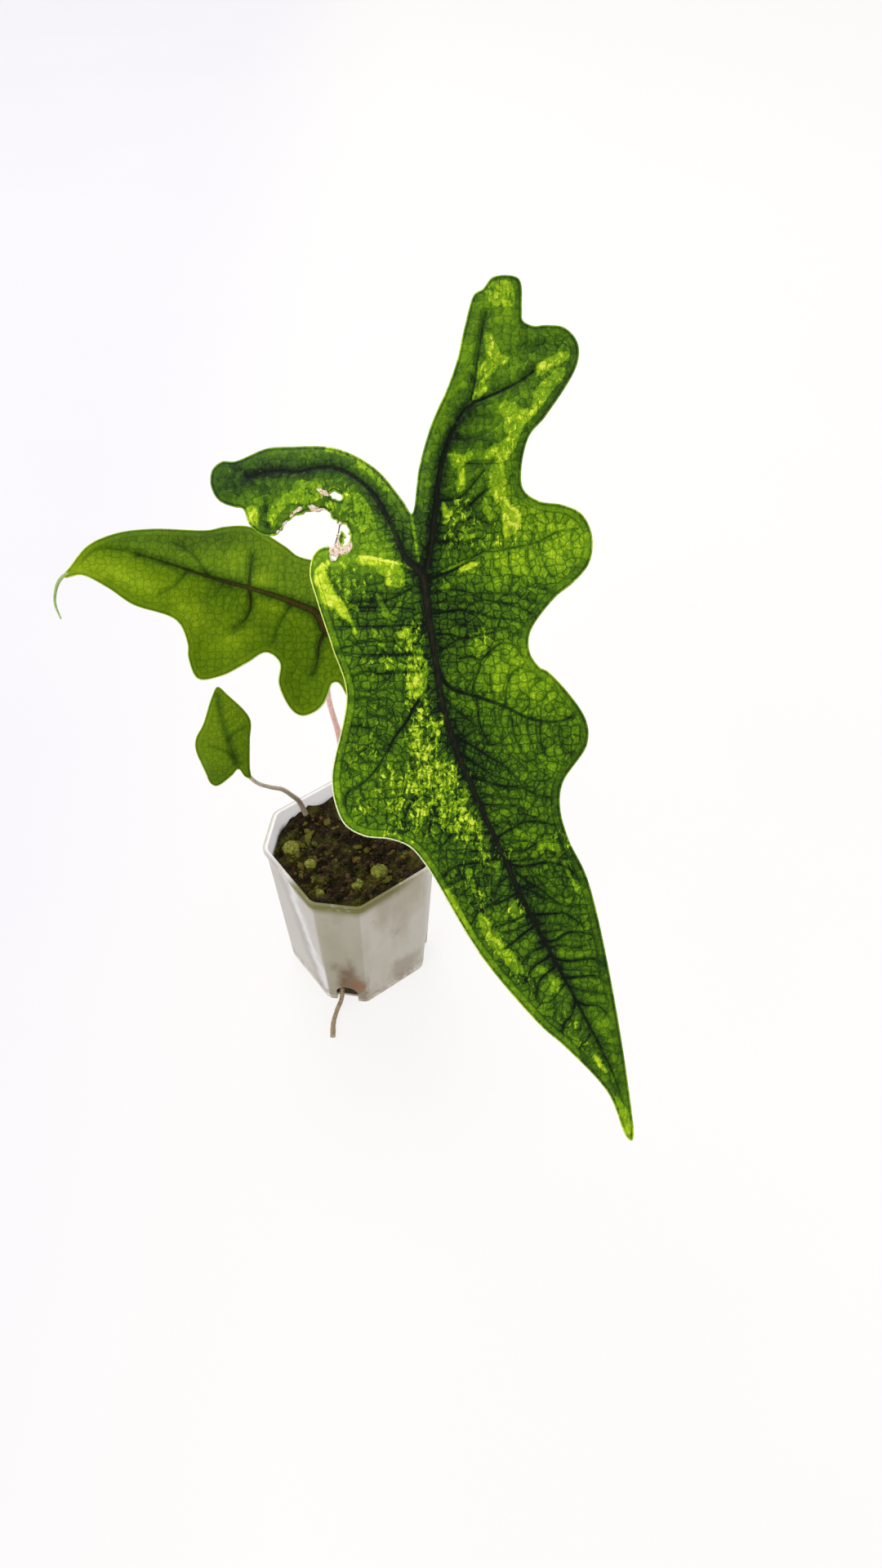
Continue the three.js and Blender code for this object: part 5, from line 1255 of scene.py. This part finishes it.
# %% The punch for the drain slots
SLOT_WIDTH, SLOT_TALL, SLOT_REACH = 9, 11, 2.6
punch = bmesh.new()
corner = (POT_BASE - POT_CORNER * POT_BASE / POT_MOUTH) / math.sqrt(2)
bar_long = SLOT_REACH + (POT_MOUTH - POT_BASE) / 2 + 1
done = []
for quarter in range(4):
    block = bmesh.ops.create_cube(punch, size=1)["verts"]
    bmesh.ops.scale(punch, verts=block, vec=(SLOT_WIDTH, bar_long, SLOT_TALL + 1))
    upper = [e for e in dict.fromkeys(e for v in block for e in v.link_edges)
             if all(v.co.z > 0 for v in e.verts) and abs(e.verts[0].co.x - e.verts[1].co.x) < 0.1]
    bmesh.ops.bevel(punch, geom=upper, offset=SLOT_WIDTH / 2 - 0.05, offset_type="OFFSET", affect="EDGES",
                    segments=6, profile=0.5, material=-1)
    block = [v for v in punch.verts if v not in done]
    bmesh.ops.translate(punch, verts=block, vec=(0, SLOT_REACH - corner - bar_long / 2, SLOT_TALL / 2 - 0.5))
    turn = Matrix.Rotation(POT_TURN + QUARTER / 2 + quarter * QUARTER, 3, "Z")
    bmesh.ops.rotate(punch, verts=block, cent=(0, 0, 0), matrix=turn)
    done += block
bmesh.ops.recalc_face_normals(punch, faces=punch.faces[:])
print(f"punch: {len(punch.verts)} points in four bars")

# %% [markdown]
# The plastic is thin and frosted, so it is cloudy, lets some light through and shows smears, dirt and
# fine upright scratches. Four noises of different grain give those.

# %% Frosted plastic
frosted, tree, shader = new_finish("frosted_plastic")
place = object_place(tree)
parts = put(tree, "SeparateXYZ", {0: place}).node.outputs
upright = stretched(tree, place, (1, 1, 0.45))
cloud = speckle(tree, upright, 55, 3.0)
smear = speckle(tree, upright, 130, 4.0, 0.6)
dirt = speckle(tree, place, 260, 4.0, 0.65)
scratch = speckle(tree, stretched(tree, place, (1, 1, 0.08)), 1500, 2.0)


def along(direction):
    return put(tree, "VectorMath", {0: place, 1: direction}, out=1, operation="DOT_PRODUCT")


def spot(centre, wide, tall):
    gap = put(tree, "VectorMath", {0: place, 1: centre}, operation="SUBTRACT")
    gap = stretched(tree, gap, (1 / wide, 1 / wide, 1 / tall))
    away = put(tree, "VectorMath", {0: gap}, out=1, operation="LENGTH")
    reach = total(tree, 1.4, (away, 1.0), (smear, -2.0), (dirt, -0.8))
    return soft_step(tree, reach, 0.2, 1.2, 1, 0)


print(f"frosted plastic: {len(tree.nodes)} nodes so far")

# %% [markdown]
# The pot's sides differ: the left one is painted paler, as painted light on the side turned to the lamps,
# with a painted upright highlight and a painted shaded streak beside it, and the cut corner in front is
# tinged by the mix behind it. Rusty and pale spots, a dirty foot and a rim of algae are laid over them,
# and the inside of the far wall is painted bright and given a glow, as painted light coming through from
# behind. All this could be painted on an image. Here it is reckoned from the place on the pot, so no image
# is needed and each stain can be moved by a number.

# %% Colours, stains and painted light of the pot
colour = mixed(tree, soft_step(tree, cloud, 0.35, 0.65), tint(182, 172, 148), tint(212, 206, 190))
colour = mixed(tree, soft_step(tree, smear, 0.56, 0.7, 0, 0.5), colour, tint(160, 148, 122))
# The left face is painted paler: painted light on the side turned to the lamps.
lit_left_face = soft_step(tree, along((-0.797, -0.605, -0.0497)), 0.0249, 0.0253)
front_face = soft_step(tree, along((-0.136, -0.991, -0.0547)), 0.0276, 0.028)
colour = mixed(tree, times(tree, lit_left_face, 0.65), colour, tint(216, 211, 204))
olive = mixed(tree, cloud, tint(150, 142, 112), tint(190, 184, 164))
colour = mixed(tree, times(tree, front_face, 0.7), colour, olive)
# On the left face: a painted upright highlight, and a painted shaded streak beside it.
painted_band_across = along((0.605, -0.797, 0.245))
for middle, wide, share, shade in ((0.0168, 0.0034, 0.85, tint(250, 247, 248)),
                                   (0.0095, 0.0034, 0.4, tint(160, 152, 150))):
    off = total(tree, -middle - 0.003, (painted_band_across, 1.0), (smear, 0.014), (dirt, -0.008))
    off = reckon(tree, "ABSOLUTE", off)
    band = times(tree, soft_step(tree, off, wide * 0.1, wide * 1.6, share, 0), lit_left_face)
    colour = mixed(tree, band, colour, shade)
for centre, wide, tall, share, shade in (
        ((-0.003, -0.028, 0.016), 0.007, 0.02, 0.9, tint(112, 78, 24)),
        ((0.001, -0.028, 0.014), 0.003, 0.006, 0.8, tint(150, 86, 8)),
        ((0.020, -0.018, 0.013), 0.010, 0.008, 0.6, tint(150, 132, 106)),
        ((0.008, -0.024, 0.044), 0.006, 0.012, 0.6, tint(222, 217, 208)),
        ((0.024, -0.014, 0.040), 0.006, 0.014, 0.5, tint(220, 214, 204))):
    colour = mixed(tree, times(tree, spot(centre, wide, tall), share), colour, shade)
stain = times(tree, soft_step(tree, parts[2], 0.0, 0.012, 1, 0), soft_step(tree, dirt, 0.42, 0.62))
colour = mixed(tree, times(tree, stain, 0.7), colour, tint(126, 104, 76))
front = soft_step(tree, parts[1], -0.016, -0.025)
algae = times(tree, soft_step(tree, parts[2], 0.0645, 0.0705), soft_step(tree, dirt, 0.2, 0.45))
algae = times(tree, times(tree, algae, front), 0.95)
colour = mixed(tree, algae, colour, tint(114, 110, 8))
# The inside of the far wall is painted nearly white: painted light, as if lit through the plastic from
# behind.
back = times(tree, soft_step(tree, parts[1], -0.02, 0.0), soft_step(tree, parts[2], 0.062, 0.066))
back = times(tree, back, stored(tree, "inner"))
colour = mixed(tree, times(tree, back, 0.8), colour, tint(244, 243, 248))
dress(tree, shader, colour, soft_step(tree, cloud, 0.3, 0.7, 0.3, 0.46),
      total(tree, 0.0, (dirt, 0.5), (scratch, 0.5)), 0.2, 0.0002)
# There it also glows by emission: a painted glow, where there is no lamp.
tree.links.new(mixed(tree, back, tint(0, 0, 0), tint(170, 170, 174)), shader.inputs["Emission Color"])
shader.inputs["Emission Strength"].default_value = 0.7
shader.inputs["Transmission Weight"].default_value = 0.3
shader.inputs["IOR"].default_value = 1.45
print(f"frosted plastic: {len(tree.nodes)} nodes in all")

# %% [markdown]
# Now the punch takes out the slots. The cut mesh becomes the pot, and the two rough pieces it came from
# are removed. Each point also stores whether it is inside the pot, for the painted light and glow of the
# far wall.

# %% Cutting the slots
SHARP_FROM = math.radians(28)
uncut = piece_from("pot_uncut", pot, frosted)
cutter = piece_from("pot_punch", punch, frosted)
press = uncut.modifiers.new("slots", "BOOLEAN")
press.operation, press.object, press.solver = "DIFFERENCE", cutter, "EXACT"
bpy.context.view_layer.update()
cut_mesh = bpy.data.meshes.new_from_object(uncut.evaluated_get(bpy.context.evaluated_depsgraph_get()))
for spare in (uncut, cutter):
    bpy.data.objects.remove(spare)
shape = bmesh.new()
shape.from_mesh(cut_mesh)
mesh = piece_from("nursery_pot", shape, frosted, "pot", unit=1).data
mesh.shade_smooth()
mesh.set_sharp_from_angle(angle=SHARP_FROM)
CORNER_FAR = 1.1008  # distance of a cut corner from the middle, against half of the pot's width
SIDES = [((0.797, 0.605, 0), 1), ((0.605, -0.797, 0), 1),
         ((0.136, 0.991, 0), CORNER_FAR), ((0.991, -0.136, 0), CORNER_FAR)]
places = np.array([v.co for v in mesh.vertices]) / MM
away = np.max([np.abs(places @ np.array(way)) / far for way, far in SIDES], axis=0)
inner = (away < wall_half(places[:, 2]) - POT_WALL / 2).astype(np.float32)
mesh.attributes.new("inner", "FLOAT", "POINT").data.foreach_set("value", inner)
print(f"pot: {len(mesh.polygons)} faces after the slots, {int(inner.sum())} points inside")

# %% [markdown]
# ## The potting mix
# The mix is damp peat with bark, heaped a little against the stem. A grid trimmed to the pot's inside
# gives its top, raised by the same waves as the frame's solid plus a finer crumb. Below, it narrows with
# the pot, because it shows through the frosted wall.

# %% The potting mix
STEM_X, STEM_Y = 0.5, 12.0
MIX_LEVEL, MIX_CROWN, MIX_LUMP = 63, 2.5, 0.9
MIX_RIM, MIX_GAP = 62, 0.35  # the height of its rim, and the gap to the wall and the floor


def mix_level(x, y):
    away = np.hypot(x - STEM_X, y - STEM_Y)
    bank = 3.2 * np.exp(-((x + 20) / 7) ** 2 - ((y - 17) / 7) ** 2)
    waves = np.sin(x * 0.55 + 1.3) * np.cos(y * 0.48) + 0.6 * np.sin(x * 1.21 - y * 0.93)
    return MIX_LEVEL + MIX_CROWN * np.exp(-((away / 14) ** 2)) + bank + MIX_LUMP * waves


rim_half = wall_half(MIX_RIM) - POT_WALL - MIX_GAP
pan = bmesh.new()
cut_square(rim_half, pan)
rim_points = [v.co.xy for v in sorted(pan.verts, key=lambda v: math.atan2(v.co.y, v.co.x))]
pan.free()
rim_line = np.vstack([np.linspace(a, b, 12, endpoint=False)
                      for a, b in zip(rim_points, rim_points[1:] + rim_points[:1])])
mix = with_underside(trimmed_grid([rim_line], 0.6))
plan = np.array([v.co for v in mix.verts])
x, y = plan[:, 0], plan[:, 1]
narrow = (wall_half(POT_FLOOR) - POT_WALL - 1.5) / rim_half
for v, level in zip(mix.verts, mix_level(x, y)):
    if v.co.z > 0.5:
        lumps = sum(high * noise.noise(Vector((v.co.x * often, v.co.y * often, often)))
                    for high, often in ((1.3, 0.2), (0.9, 0.45), (0.6, 1.1), (0.3, 2.4)))
        v.co.z = level + lumps + 1.6 * ease(math.hypot(v.co.x, v.co.y), 20, 27)
    else:
        v.co = (v.co.x * narrow, v.co.y * narrow, POT_FLOOR + MIX_GAP)
print(f"mix: {len(mix.faces)} faces")

# %% [markdown]
# Damp peat is nearly black, with paler grit and here and there a green film. Clods and grit are two noises
# of different grain, and both also raise the surface a little.

# %% Finish of the mix
peat, tree, shader = new_finish("damp_mix")
place = object_place(tree)
clods = speckle(tree, place, 300, 5.0, 0.7)
grit = speckle(tree, place, 1300, 3.0, 0.6)
colour = mixed(tree, soft_step(tree, clods, 0.38, 0.66), tint(12, 8, 3), tint(52, 40, 18))
colour = mixed(tree, soft_step(tree, grit, 0.58, 0.68, 0, 0.7), colour, tint(110, 84, 44))
film = soft_step(tree, speckle(tree, place, 110, 3.0), 0.46, 0.62)
film = times(tree, film, soft_step(tree, grit, 0.4, 0.6, 0.2, 0.8))
colour = mixed(tree, film, colour, tint(84, 84, 22))
dress(tree, shader, colour, soft_step(tree, clods, 0.3, 0.7, 0.6, 0.95),
      total(tree, 0.0, (clods, 1.0), (grit, 0.4)), 0.9, 0.0008, 0.12)
print(f"damp mix: {len(tree.nodes)} nodes")
piece_from("mix", mix, peat, "soil")

# %% [markdown]
# Bark chips and crumbs lie on the mix. Each one is a small ball of twenty faces, flattened and turned at
# random, and all of them are one mesh. They are kept off the stem and inside the pot.

# %% Bark chips and crumbs
CHIPS, FIELD, OFF_STEM = 420, 27, 6.5  # how many, how far out they lie, and how far from the stem
dice = np.random.default_rng(5)
chips = bmesh.new()
for _ in range(CHIPS):
    turn, out = dice.uniform(0, 2 * math.pi), FIELD * math.sqrt(dice.uniform())
    cx, cy = out * math.cos(turn), out * math.sin(turn)
    if math.hypot(cx - STEM_X, cy - STEM_Y) < OFF_STEM:
        continue
    size = dice.uniform(0.35, 1.0) ** 2 * 2.1
    lying = Matrix.LocRotScale(
        Vector((cx, cy, mix_level(cx, cy) + 0.25)), Matrix.Rotation(dice.uniform(0, 6.28), 3, "Z")
        @ Matrix.Rotation(dice.uniform(-0.7, 0.7), 3, "X"),
        (size, size * dice.uniform(0.5, 0.9), size * dice.uniform(0.3, 0.6)))
    bmesh.ops.create_icosphere(chips, subdivisions=1, radius=1.0, matrix=lying)
bark, tree, shader = new_finish("bark")
place = object_place(tree)
brown = soft_step(tree, speckle(tree, place, 190, 2.0), 0.35, 0.68)
green = soft_step(tree, speckle(tree, place, 130, 2.0), 0.5, 0.62, 0, 0.8)
colour = mixed(tree, brown, tint(20, 14, 7), tint(92, 68, 36))
colour = mixed(tree, green, colour, tint(96, 98, 28))
fibre = speckle(tree, stretched(tree, place, (1, 0.2, 1)), 2200, 3.0)
dress(tree, shader, colour, soft_step(tree, fibre, 0.3, 0.7, 0.6, 0.9), fibre, 0.6, 0.0003, 0.12)
print(f"bark: {len(chips.faces)} faces")
piece_from("bark_chips", chips, bark, None, flat=True)

# %% [markdown]
# ## Moss
# A moss cushion is a flattened ball covered with tiny pointed leaves. The ball is an icosphere, dented by
# a wave, and the leaves are four-sided cones set on it at random, each pointing outwards.

# %% Moss
MOSS = [(-24.2, 2.2, 7.4), (11, -9, 7), (2.6, -15, 5.4), (-16, -5.6, 5), (-11.8, -19, 4.6), (19, 12, 6),
        (-5, 24, 5.6)]
TUFTS, DENT, FLATNESS = 230, 0.12, 0.62
velvet, tree, shader = new_finish("moss")
place = object_place(tree)
tuft = speckle(tree, place, 900, 3.0)
colour = mixed(tree, soft_step(tree, tuft, 0.3, 0.7), tint(74, 80, 16), tint(152, 154, 44))
dress(tree, shader, colour, soft_step(tree, tuft, 0.3, 0.7, 0.75, 0.95), tuft, 0.6, 0.0003)
for number, (cx, cy, width) in enumerate(MOSS, 1):
    cushion = bmesh.new()
    bmesh.ops.create_icosphere(cushion, subdivisions=3, radius=1.0)
    for v in cushion.verts:
        x, y, z = v.co
        v.co *= 1 + DENT * math.sin(x * 5 + number) * math.cos(y * 4 - number) * math.cos(z * 3)
    for _ in range(TUFTS):
        out = Vector(dice.normal(0, 1, 3)).normalized()
        if out.z < -0.1:
            continue
        lean = (out + Vector(dice.normal(0, 0.35, 3))).normalized()
        stand = lean.to_track_quat("Z", "Y").to_matrix().to_4x4()
        bmesh.ops.create_cone(cushion, cap_ends=True, segments=4, radius1=0.075, radius2=0.008,
                              depth=dice.uniform(0.2, 0.4), matrix=Matrix.Translation(out) @ stand)
    half = width / 2 * 0.92
    bmesh.ops.scale(cushion, verts=cushion.verts[:], vec=(half, half, half * FLATNESS))
    bmesh.ops.translate(cushion, verts=cushion.verts[:], vec=(cx, cy, mix_level(cx, cy) + width * 0.1))
    piece_from(f"moss_cushion_{number}", cushion, velvet, f"moss_{number}")
print(f"{len(MOSS)} cushions of moss")

# %% [markdown]
# ## The stem
# All stalks rise from one short stem. Old leaf sheaths wrap its top in papery collars. Half of its
# outline, spun about the middle, gives the collars in one move.

# %% The stem
STEM_FOOT = 44.0
PROFILE = [(0.01, 0), (2.2, 0.6), (4.6, 3.5), (5.4, 8), (5.4, 13), (5.6, 14.6), (6, 15), (5.4, 15.6),
           (5.6, 17.4), (6, 18.2), (5.3, 18.7), (5.5, 19.8), (5.2, 20.5), (0.01, 20.3)]
stem = bmesh.new()
points = [stem.verts.new((r, 0, z)) for r, z in PROFILE]
edges = [stem.edges.new(pair) for pair in zip(points, points[1:])]
bmesh.ops.spin(stem, geom=points + edges, cent=(0, 0, 0), axis=(0, 0, 1), angle=2 * math.pi, steps=36,
               use_merge=True)
bmesh.ops.remove_doubles(stem, verts=stem.verts[:], dist=0.03)
bmesh.ops.recalc_face_normals(stem, faces=stem.faces[:])
for v in stem.verts:
    turn = math.atan2(v.co.y, v.co.x)
    v.co.xy *= 1 - 0.05 * abs(math.sin(turn * 3 + v.co.z))
bmesh.ops.translate(stem, verts=stem.verts[:], vec=(STEM_X, STEM_Y, STEM_FOOT))
print(f"stem: {len(stem.faces)} faces")
sheath = stalk_finish("dry_sheath", tint(112, 62, 42), tint(140, 90, 60), tint(60, 32, 22), 0.7, 0.7)
piece_from("stem", stem, sheath, "stem_base")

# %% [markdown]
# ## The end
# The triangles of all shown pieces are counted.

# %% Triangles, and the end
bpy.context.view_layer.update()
triangles = sum(len(p.vertices) - 2 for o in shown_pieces() for p in o.data.polygons)
print("triangles in all:", triangles)
